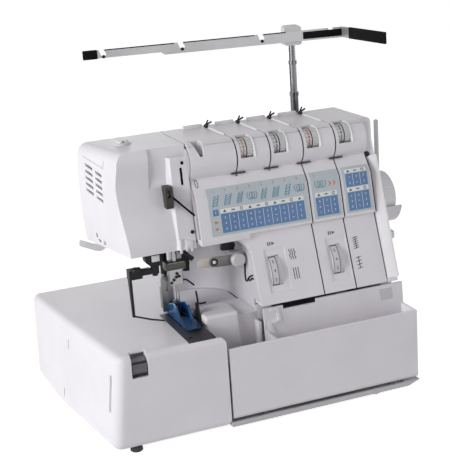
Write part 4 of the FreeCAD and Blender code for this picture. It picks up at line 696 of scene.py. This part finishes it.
def make_slit_linings():
    """Painted shade: dark filling just under the surface in the thread slits, the panel seams and the
    cheek's seam.
    """
    back, front, top, floor = 146.0, 84.0, 284.4, 281.0
    seam = [(75.6, 249.0), (61.8, 231.8), (52.7, 189.3), (56.9, 186.0), (31.6, 116.0), (36.0, 116.0),
            (61.0, 187.0), (57.5, 190.5), (66.0, 231.5), (80.0, 249.0)]
    slits = bmesh.new()
    for x in SLITS:
        section = [(back, top), (front, top)] + shoulder(0.8, SHOULDER_HIGH, SHOULDER_LOW)
        if x in PANEL_SEAMS:
            section += seam
        section += shoulder(5.0, SHOULDER_LOW, SHOULDER_HIGH) + [(front, floor), (back, floor)]
        side_plate(slits, section, x - SLIT_HALF, 2 * SLIT_HALF)
    # Dark strip in the cheek's seam: painted shade
    cheek_seam = ((74.9, 249.4), (61.2, 231.9), (52.2, 189.2), (57.2, 189.2), (71.0, 231.9), (79.0, 249.4))
    side_plate(slits, cheek_seam, 312.05, 0.55)
    emit("slit_linings", slits, "body", "trim_black", "soot")


def make_notch():
    """Walls and black floor of the thread notch left of the shoulder, the floor as painted shade, the oval
    below it and the grey filling of the head's gap as painted shade.
    """
    top, foot, back_foot = 284.6, 272.8, 272.2
    front_top, front_foot, back = 82.0, 71.2, 91.0
    thick = 0.9
    walls = bmesh.new()
    for x_top, x_foot, push in ((118.3, 123.1, -thick), (129.3, 126.4, thick)):
        outline = ((x_top, front_top, top), (x_foot, front_foot, foot), (x_foot, back, foot),
                   (x_top, back, top))
        prism(walls, outline, (push, 0, 0))
    outline = ((117.6, back, top), (122.6, back, back_foot), (126.9, back, back_foot), (130.0, back, top))
    prism(walls, outline, (0, thick, 0))
    emit("notch_walls", walls, "body", "shell_white")
    # Black floor: painted shade at the bottom of the notch
    floor = bmesh.new()
    block(floor, (122.4, 127.1), (71.0, 91.5), foot=272.7, rise=-thick)
    emit("notch_floor", floor, "body", "trim_black", "soot")
    oval = bmesh.new()
    ring = [(117.4 + 1.5 * math.cos(i * math.pi / 12), 16.6 + 4.6 * math.sin(i * math.pi / 12))
            for i in range(24)]
    ink_line(oval, BROW_FLAT, ring + [(118.9, 16.5)], 0.7, (-0.3, INK))
    emit("panel_oval", oval, "body", "trim_black", "ink_grey")
    # Grey filling of the head's gap: painted shade in the groove between thread plate and panel
    gap = bmesh.new()
    section = shoulder(1.4, 48, SHOULDER_LOW) + [(76.0, 249.0), (62.4, 231.8), (54.0, 190.5)]
    section += [(60.0, 190.5), (68.0, 231.8), (82.0, 249.0), (82.0, 281.0)]
    side_plate(gap, section, 110.15, 2.0)
    emit("head_gap_lining", gap, "body", "shell_white", "seam_grey")


def make_thread_plate():
    """Dark slot linings as painted shade, screw and two moulded hooks of the thread plate, and the take-up
    wire's sheath.
    """
    # The black capsule and disc just under the face stand in for the shade in the slot and the hole: painted
    # shade
    lining = (-1.0, 0.05)
    dark = bmesh.new()
    ink_patch(dark, THREAD_PLATE, capsule((102.4, 68.0), (102.4, 83.4), 1.25), lining)
    ink_patch(dark, THREAD_PLATE, capsule((104.5, 88.9), (104.5, 89.1), 1.7), lining)
    emit("thread_slot_linings", dark, "body", "trim_black", "soot")
    screw = bmesh.new()
    screw_head(screw, THREAD_PLATE(107.3, 17.6, -0.3), (0, -0.994, 0.113), radius=2.0, height=1.5)
    emit("thread_plate_screw", screw, "body", "trim_black")
    hooks = bmesh.new()
    front_plate(hooks, capsule((93.6, 191.0), (93.4, 178.2), 1.4), front=62.4, deep=1.8, bevel=0.4)
    fork = ((98.6, 190.6), (106.4, 189.4), (106.0, 177.4), (103.8, 177.8), (103.6, 183.4), (100.9, 183.9),
            (100.6, 178.4), (98.4, 178.8))
    front_plate(hooks, fork, front=62.0, deep=2.2, bevel=0.4)
    emit("thread_plate_hooks", hooks, "body", "shell_white")
    wire = bmesh.new()
    tube(wire, ((86.9, 64.5, 239.0), (98.4, 63.3, 227.0), (110.2, 61.98, 214.8)), radius=1.05)
    emit("take_up_wire", wire, "take_up", "clip_dark", "soot")


# Needle, presser foot and throat

PRESSER_AXIS = (85.0, 101.0)


def make_needle_clamp():
    """Screw heads, olive cap and thread hook on the needle clamp."""
    screws = bmesh.new()
    for x, z in ((84.6, 143.0), (87.5, 145.8), (90.2, 148.4), (93.4, 149.0), (91.2, 152.2)):
        screw_head(screws, (x, 76.85, z), TO_FRONT, radius=1.6, height=0.6)
    emit("clamp_screw_heads", screws, "needle_carriage", "trim_black")
    cap = bmesh.new()
    block(cap, (80.3, 101.7), (77.3, 90.7), foot=155.8, rise=8.4, bevel=1.0)
    emit("clamp_cap", cap, "needle_carriage", "clamp_steel", "olive")
    hook = bmesh.new()
    tube(hook, bent((96.5, 79.5, 143.4), (100.7, 78.4, 143.6), (104.9, 78.0, 140.1), (109.0, 78.0, 136.0)),
         radius=0.95)
    emit("clamp_hook", hook, "needle_carriage", "trim_black")


def make_presser_sleeves():
    """Black sleeve and steel socket on the presser bar."""
    sleeve = bmesh.new()
    hoop(sleeve, (*PRESSER_AXIS, 147.0), UP, length=26.0, inner=3.3, outer=3.85, sides=32)
    emit("presser_sleeve", sleeve, "presser", "trim_black")
    socket = bmesh.new()
    hoop(socket, (*PRESSER_AXIS, 109.5), UP, length=22.8, inner=3.6, outer=6.4, sides=36)
    emit("foot_socket_sleeve", socket, "presser", "clamp_steel")


def make_underarm_parts():
    """Rod, post and pale plate under the arm."""
    rod = bmesh.new()
    tube(rod, ((91.0, 73.5, 181.5), (98.9, 72.4, 174.5), (107.6, 72.0, 166.6)), radius=2.5, sides=14)
    emit("lever_rod", rod, "body", "trim_black")
    post = bmesh.new()
    outline = ((103.2, 148.0), (110.5, 147.0), (111.0, 158.0), (108.5, 183.0), (103.2, 183.0))
    front_plate(post, outline, front=92.5, deep=4.5, bevel=0.8)
    emit("thread_post", post, "body", "trim_black")
    plate = bmesh.new()
    outline = ((64.0, 170.4), (72.4, 170.4), (72.4, 177.0), (64.0, 177.0))
    front_plate(plate, outline, front=72.4, deep=0.8, bevel=0.2)
    emit("bracket_plate", plate, "body", "bracket_grey", "ink_pale")


def make_seam_guide_parts():
    """Knob and arm pad on the seam guide."""
    knob = bmesh.new()
    turned(knob, ((-2.0, 4.8), (0.6, 4.8), (1.6, 4.2), (2.2, 2.8), (2.4, 1.2)), (46.5, 74.5, 165.0), UP)
    emit("seam_guide_knob", knob, "seam_guide", "trim_black")
    bar = bmesh.new()
    block(bar, (52.0, 63.4), (73.7, 82.3), foot=157.2, rise=6.2, bevel=1.0)
    emit("seam_guide_arm", bar, "seam_guide", "trim_black")


def make_throat_parts():
    """Pale beads along the presser foot's edges as painted highlights, the stitch finger and the hook in the
    throat.
    """
    # Pale blue beads on the foot's edges: painted highlights
    edges = bmesh.new()
    for x in (84.5, 97.5):
        tube(edges, bent((x, 67.4, 119.0), (x, 77.0, 120.2), (x, 92.4, 115.4), (x, 105.6, 115.2)),
             radius=0.75)
    emit("foot_edges", edges, "presser", "foot_blue", "foot_edge")
    finger = bmesh.new()
    outline = ((99.5, 40.0), (103.2, 40.0), (103.2, 92.0), (100.4, 94.0), (99.5, 84.0))
    prism(finger, [(x, y, 104.0) for x, y in outline], (0, 0, 1.7), bevel=0.4)
    emit("stitch_finger", finger, "body", "trim_black")
    hook = bmesh.new()
    tube(hook, bent((115.2, 92.0, 124.0), (116.2, 92.0, 116.0), (116.6, 92.0, 104.8)), radius=1.0)
    tube(hook, bent((116.5, 92.0, 110.0), (120.0, 92.0, 109.0), (125.6, 92.0, 109.4)), radius=1.0)
    emit("throat_hook", hook, "body", "trim_black")


def make_lever_trims():
    """Cream end, steel strip, ring and screw on the threading lever, its pivot block and a bent wire."""
    screw_seat = (130.0, 68.9, 159.8)
    wire_radius = 0.85
    cream = bmesh.new()
    front_plate(cream, capsule((117.4, 160.9), (127.0, 159.8), 5.3), front=69.3, deep=0.8, bevel=0.3)
    emit("lever_end", cream, "thread_lever", "lever_white", "cream")
    strip = bmesh.new()
    front_plate(strip, capsule((129.8, 159.8), (147.5, 158.8), 5.6), front=68.7, deep=1.1, bevel=0.3)
    emit("lever_strip", strip, "thread_lever", "clamp_steel", "strip_steel")
    ring = bmesh.new()
    hoop(ring, screw_seat, TO_FRONT, length=0.6, inner=1.9, outer=4.0, sides=28)
    emit("lever_ring", ring, "thread_lever", "trim_black")
    screw = bmesh.new()
    screw_head(screw, screw_seat, TO_FRONT, radius=2.0, height=1.3)
    emit("lever_screw", screw, "thread_lever", "bright_steel", "ink_pale")
    pivot = bmesh.new()
    outline = ((141.0, 168.6), (155.0, 167.6), (157.0, 173.0), (152.0, 184.0), (143.0, 184.0))
    front_plate(pivot, outline, front=74.0, deep=6.5, bevel=0.8)
    emit("lever_pivot_block", pivot, "body", "trim_black")
    wire = bmesh.new()
    tube(wire, bent((164.6, 72.0, 162.0), (164.2, 70.0, 152.0), (164.1, 70.5, 136.0), (164.2, 66.5, 133.5),
                    (164.2, 60.0, 139.5), (164.2, 50.0, 144.4)), wire_radius)
    tube(wire, bent((164.1, 63.0, 136.6), (164.2, 58.0, 136.6), (164.2, 52.0, 140.4), (164.2, 48.6, 140.8)),
         wire_radius)
    emit("throat_wire", wire, "body", "trim_black")


# Thread stand

POLE = (290.0, 200.0)
GUIDE_LEAN = math.radians(-7.4)
GUIDE_END_TURN = math.radians(80)
GUIDE_EYELETS = (73.2, 161.2, 253.2, 336.2)
GUIDE_EDGES = ((74.5, 152.0), (163.0, 244.0), (255.0, 281.0))


def leaned(work):
    """Pieces on the thread guide bar, turned about the pole to their place at rest."""
    turn = Matrix.Rotation(GUIDE_LEAN, 4, "Z")
    foot = Vector((*POLE, 0))
    for vertex in work.verts:
        vertex.co = turn @ (vertex.co - foot) + foot
    return work


def make_guide_trims():
    """Black end caps, top edges and eyelets on the thread guide bar, and collars on the pole."""
    caps = bmesh.new()
    block(caps, (50.5, 66.5), (190.7, 193.8), foot=362.4, rise=10.0, bevel=0.7)
    block(caps, (301.5, 347.6), (190.7, 191.7), foot=362.0, rise=8.0, bevel=0.3)
    along = Vector((math.cos(GUIDE_END_TURN), -math.sin(GUIDE_END_TURN), 0))
    side = Vector((-along.y, along.x, 0))
    near = Vector((348.0, 191.8, 359.6)) + along * 16
    far = near + along * 76.4
    outer, inner = side * 0.7, side * 2.3
    prism(caps, (near - outer, far - outer, far + inner, near + inner), (0, 0, 12.8), bevel=0.7)
    for xs in GUIDE_EDGES:
        block(caps, xs, (191.0, 192.4), foot=371.0, rise=1.0)
    emit("guide_bar_caps", leaned(caps), "guide", "trim_black", "soot")
    eyelets = bmesh.new()
    for x in GUIDE_EYELETS:
        turned(eyelets, ((0.0, 1.9), (0.5, 1.9), (0.9, 1.2)), (x, 191.6, 364.4), TO_FRONT, sides=16)
    emit("guide_eyelets", leaned(eyelets), "guide", "trim_black")
    lower = bmesh.new()
    hoop(lower, (*POLE, 297.5), UP, length=4.5, inner=4.5, outer=5.5, sides=32)
    emit("pole_collar_lower", lower, "body", "pole_steel")
    middle = bmesh.new()
    hoop(middle, (*POLE, 334.0), UP, length=4.0, inner=3.9, outer=4.9, sides=32)
    emit("pole_collar_middle", middle, "pole_middle", "pole_steel")


# Shell

def make_arm_arch():
    """Rounded inner corner where the arm's underside runs down into the column."""
    right, top, foot, steps = 168.0, 76.2, 44.0, 12
    centre, wide, tall = 143.0, 24.3, 30.9
    outline = [(right, top), (142.0, top)]
    for i in range(steps + 1):
        angle = math.pi / 2 * i / steps
        outline.append((centre + wide * math.sin(angle), foot + tall * math.cos(angle)))
    outline.append((right, foot))
    arch = bmesh.new()
    ink_patch(arch, LOWER, outline, (-7.0, 0.05))
    emit("arm_arch", arch, "body", "shell_white")


def make_deck_lips():
    """Pale lips beside the dial windows and ridges along the thread slits of the deck."""
    window_right, ridge_front, ridge_long, deck, ridge_top = 15.6, 97.0, 46.5, 285.3, 286.9
    lips = bmesh.new()
    for left in DIAL_LEFTS:
        tube(lips, [(left + window_right, y, z) for y, z in shoulder(-0.1, 58, 0)], radius=0.8)
    for x in SLITS:
        section = ((x - 2.5, deck), (x - 0.9, ridge_top), (x - 0.8, deck))
        front_plate(lips, section, ridge_front, ridge_long, bevel=0.0)
    emit("deck_lips", lips, "body", "shell_white", "ink_pale")


def make_cheek():
    """Rounded edge strip down the right cheek, which turns a little to the left, in a paler finish as a
    painted highlight.
    """
    foot, head = 1.0, 134.0
    section = ((312.9, -0.6), (313.05, 0.3), (320.6, 3.7), (322.2, 4.05), (323.6, 3.6), (324.8, 2.2),
               (325.4, 0.0), (325.4, -4.4), (318.0, -1.6))
    strip = bmesh.new()
    prism(strip, [CHEEK(x, foot, off) for x, off in section], CHEEK(0, head, 0) - CHEEK(0, foot, 0))
    emit("cheek_strip", strip, "body", "shell_white", "cheek_pale")


def make_tray_parts():
    """Clip, slanting rib and a grey plate of painted shade for the recess on the tray's inner wall, and the
    wall beside the looper housing.
    """
    sunk = -0.5
    clip = bmesh.new()
    hooked = ((172.4, 52.4), (181.4, 52.2), (184.4, 37.8), (174.5, 35.5), (174.2, 38.2), (181.2, 39.6),
              (178.9, 49.4), (173.0, 49.6))
    ink_patch(clip, TRAY_WALL, hooked, (sunk, 1.6))
    rib = ((168.6, 38.1), (173.1, 37.9), (180.0, 13.7), (175.9, 13.4))
    ink_patch(clip, TRAY_WALL, rib, (sunk, 1.4))
    emit("tray_clip", clip, "cover", "shell_white", "ink_pale")
    # Grey plate for the recess: painted shade
    recess = bmesh.new()
    corners = ((302.4, 36.2), (316.6, 36.6), (315.8, 49.2), (300.5, 49.0))
    ink_patch(recess, TRAY_WALL, corners, (sunk, 0.15))
    emit("tray_recess", recess, "cover", "shell_white", "recess_grey")
    wall = bmesh.new()
    outline = ((163.2, 61.0), (182.0, 61.0), (182.0, 113.0), (163.2, 113.0))
    front_plate(wall, outline, front=46.2, deep=1.4, bevel=0.3)
    emit("housing_end", wall, "body", "shell_white")


def make_latch_ribs():
    """Grip ribs and a smooth cap on the bed latch's drum."""
    rim = drum((10.4, 89.0), 9.0)
    left, right, sunk = 13.6, 28.4, -0.4
    first, pitch, thick, count = -6.4, 1.4, 0.95, 8
    cap_first, cap_pitch = 7.2, 0.9
    ribs = bmesh.new()
    for i in range(count):
        foot = first + pitch * i
        ink_block(ribs, rim, left, right, foot, foot + thick, (sunk, 0.3))
    cap = [((left + right) / 2, cap_first + cap_pitch * i) for i in range(count)]
    ink_line(ribs, rim, cap, right - left, (sunk, 0.25))
    emit("latch_ribs", ribs, "latch", "latch_grey", "latch_pale")


def make_shell_screws():
    """Cover screws with their rims at the rear and on the right side."""
    rear, rear_rim, right, right_rim = 161.6, 161.8, 325.6, 325.8
    seats = [((x, rear, z), (x, rear_rim, z), TO_BACK)
             for x, z in ((300.0, 40.0), (130.0, 270.0), (300.0, 270.0))]
    seats += [((right, y, z), (right_rim, y, z), TO_RIGHT)
              for y, z in ((150.0, 40.0), (150.0, 260.0), (100.0, 260.0))]
    screws = bmesh.new()
    for seat, rim_seat, axis in seats:
        screw_head(screws, seat, axis, radius=3.0, height=1.6)
        hoop(screws, rim_seat, axis, length=0.7, inner=3.2, outer=4.4, sides=24)
    emit("cover_screws", screws, "body", "bright_steel", "clamp_steel")


KNOB = (sum(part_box("pressure_knob"), Vector()) / 2 - SHIFT) * TO_MILLIMETRES


def make_shell_marks():
    """Panel screw, cover seam, pressure knob's grip and small marks on the head."""
    screw = bmesh.new()
    screw_head(screw, (314.6, 74.6, 247.4), (0, -0.8, 0.6), radius=3.3, height=2.2)
    emit("panel_screw", screw, "body", "trim_black")
    seam_radius, mark_radius, sides = 0.4, 0.7, 8
    seam = bmesh.new()
    tube(seam, ((22.3, 149.3, 273.4), (24.4, 138.8, 271.9), (26.5, 127.7, 270.2), (28.7, 116.8, 268.7),
                (30.9, 105.4, 267.1)), seam_radius, sides)
    tube(seam, ((30.9, 105.4, 267.1), (31.8, 103.8, 274.3), (33.7, 106.7, 280.7)), seam_radius, sides)
    emit("head_seam", seam, "body", "shell_white", "seam_grey")
    grip_foot, grip_rise = 287.4, 2.6
    cheek = ((1.6, -5.4), (4.6, -4.8), (6.6, 0), (4.6, 4.8), (1.6, 5.4))
    grip = bmesh.new()
    for side in (-1, 1):
        outline = [(KNOB.x + side * x, KNOB.y + y, grip_foot) for x, y in cheek]
        prism(grip, outline, (0, 0, grip_rise), bevel=0.6)
    emit("pressure_grip", grip, "pressure_knob", "knob_grey", "lever_grey")
    marks = bmesh.new()
    for ends in (((25.3, 135.4, 193.2), (25.6, 134.0, 188.6)), ((26.4, 131.4, 186.6), (27.3, 127.6, 184.8)),
                 ((28.9, 121.4, 184.0), (29.7, 117.4, 184.2)), ((28.9, 121.0, 186.4), (29.6, 117.6, 186.2))):
        tube(marks, ends, mark_radius, sides)
    emit("head_marks", marks, "body", "shell_white", "ink_grey")


make_charts()
make_panel_signs()
make_tension_dials()
make_thumb_wheels()
make_slit_linings()
make_notch()
make_thread_plate()
make_needle_clamp()
make_presser_sleeves()
make_underarm_parts()
make_seam_guide_parts()
make_throat_parts()
make_lever_trims()
make_guide_trims()
make_arm_arch()
make_deck_lips()
make_cheek()
make_tray_parts()
make_latch_ribs()
make_shell_screws()
make_shell_marks()


# Floor, light and camera

WORLD_LIGHT = 0.21
FLOOR_HALF = 6.0
FLOOR_LIT = (0.8, 0.8, 0.8, 1)
FLOOR_SHADE = (0.55, 0.55, 0.55, 1)
FLOOR_GLOW = 0.88
WHITE = (1, 1, 1, 1)
LAMPS = (  # name, place, target, size, power
    ("key_left", (-2.05, -0.6, 0.85), (0, 0, 0.15), 1.3, 36.0),
    ("front_fill", (1.1, -1.95, 0.6), (0, 0, 0.15), 1.4, 5.0),
    ("right_fill", (2.3, -0.6, 0.7), (0, 0, 0.12), 1.2, 14.0),
    ("back_fill", (0.4, 2.4, 0.15), (0, 0, 0.15), 1.0, 8.0),
    ("top_soft", (0.1, 0.3, 1.9), (0, 0, 0.1), 1.4, 0.5),
)
CAMERA_PLACE = (-255.7, -1000.0, 520.5)
CAMERA_TURN, CAMERA_RISE, CAMERA_ROLL = math.radians(-20.5), math.radians(16.32), math.radians(-3.99)
SENSOR = 36.0
FOCAL_PIXELS = 1147.6
LONG_SIDE_PIXELS = 471


def larger(nodes, links, first, second):
    """Larger of two values."""
    made = nodes.new("ShaderNodeMath")
    made.operation = "MAXIMUM"
    links.new(first, made.inputs[0])
    links.new(second, made.inputs[1])
    return made.outputs[0]


def mixed_white(tree, output, lit, shown):
    """What camera, mirror and clear-glass rays are shown, and a plain light level for all others."""
    nodes, links = tree.nodes, tree.links
    rays = nodes.new("ShaderNodeLightPath").outputs
    glassy = larger(nodes, links, rays["Is Glossy Ray"], rays["Is Transmission Ray"])
    mix = nodes.new("ShaderNodeMixShader")
    links.new(larger(nodes, links, rays["Is Camera Ray"], glassy), mix.inputs[0])
    links.new(lit, mix.inputs[1])
    links.new(shown, mix.inputs[2])
    links.new(mix.outputs[0], output.inputs["Surface"])


def make_world():
    """White backdrop with an even, weak light."""
    world = bpy.data.worlds.new("studio")
    bpy.context.scene.world = world
    world.use_nodes = True
    nodes = world.node_tree.nodes
    nodes.clear()
    output = nodes.new("ShaderNodeOutputWorld")
    backgrounds = []
    for strength in (WORLD_LIGHT, 1.0):
        background = nodes.new("ShaderNodeBackground")
        background.inputs["Strength"].default_value = strength
        background.inputs["Color"].default_value = WHITE
        backgrounds.append(background.outputs[0])
    mixed_white(world.node_tree, output, *backgrounds)


def make_floor():
    """White floor that takes a soft shadow."""
    mesh = bpy.data.meshes.new("floor")
    work = bmesh.new()
    bmesh.ops.create_grid(work, x_segments=1, y_segments=1, size=FLOOR_HALF)
    work.to_mesh(mesh)
    work.free()
    floor = bpy.data.objects.new("floor", mesh)
    bpy.context.scene.collection.objects.link(floor)
    made = bpy.data.materials.new("floor_white")
    made.use_nodes = True
    nodes, links = made.node_tree.nodes, made.node_tree.links
    nodes.clear()
    output = nodes.new("ShaderNodeOutputMaterial")
    matt = nodes.new("ShaderNodeBsdfDiffuse")
    matt.inputs["Color"].default_value = FLOOR_LIT
    shade = nodes.new("ShaderNodeBsdfDiffuse")
    shade.inputs["Color"].default_value = FLOOR_SHADE
    glow = nodes.new("ShaderNodeEmission")
    glow.inputs["Color"].default_value = WHITE
    glow.inputs["Strength"].default_value = FLOOR_GLOW
    both = nodes.new("ShaderNodeAddShader")
    links.new(shade.outputs[0], both.inputs[0])
    links.new(glow.outputs[0], both.inputs[1])
    mixed_white(made.node_tree, output, matt.outputs[0], both.outputs[0])
    floor.data.materials.append(made)


def make_lamp(name, place, target, size, power):
    """Round area light turned to its target."""
    data = bpy.data.lights.new(name, "AREA")
    data.shape = "DISK"
    data.size = size
    data.energy = power
    made = bpy.data.objects.new(name, data)
    bpy.context.scene.collection.objects.link(made)
    made.location = place
    made.rotation_euler = (Vector(target) - Vector(place)).to_track_quat("-Z", "Y").to_euler()


def make_camera():
    """Camera as solved from the photograph's parallel edges."""
    level = math.cos(CAMERA_RISE)
    back = Vector((math.sin(CAMERA_TURN) * level, -math.cos(CAMERA_TURN) * level, math.sin(CAMERA_RISE)))
    right = Vector((math.cos(CAMERA_TURN), math.sin(CAMERA_TURN), 0))
    up = back.cross(right)
    across = right * math.cos(CAMERA_ROLL) + up * math.sin(CAMERA_ROLL)
    upward = up * math.cos(CAMERA_ROLL) - right * math.sin(CAMERA_ROLL)
    data = bpy.data.cameras.new("camera")
    data.sensor_width = SENSOR
    data.lens = SENSOR * FOCAL_PIXELS / LONG_SIDE_PIXELS
    made = bpy.data.objects.new("camera", data)
    bpy.context.scene.collection.objects.link(made)
    facing = Matrix((across, upward, back)).transposed().to_4x4()
    made.matrix_world = Matrix.Translation(at(*CAMERA_PLACE)) @ facing
    bpy.context.scene.camera = made


make_world()
make_floor()
for lamp in LAMPS:
    make_lamp(*lamp)
make_camera()
bpy.context.scene.view_settings.view_transform = "Standard"
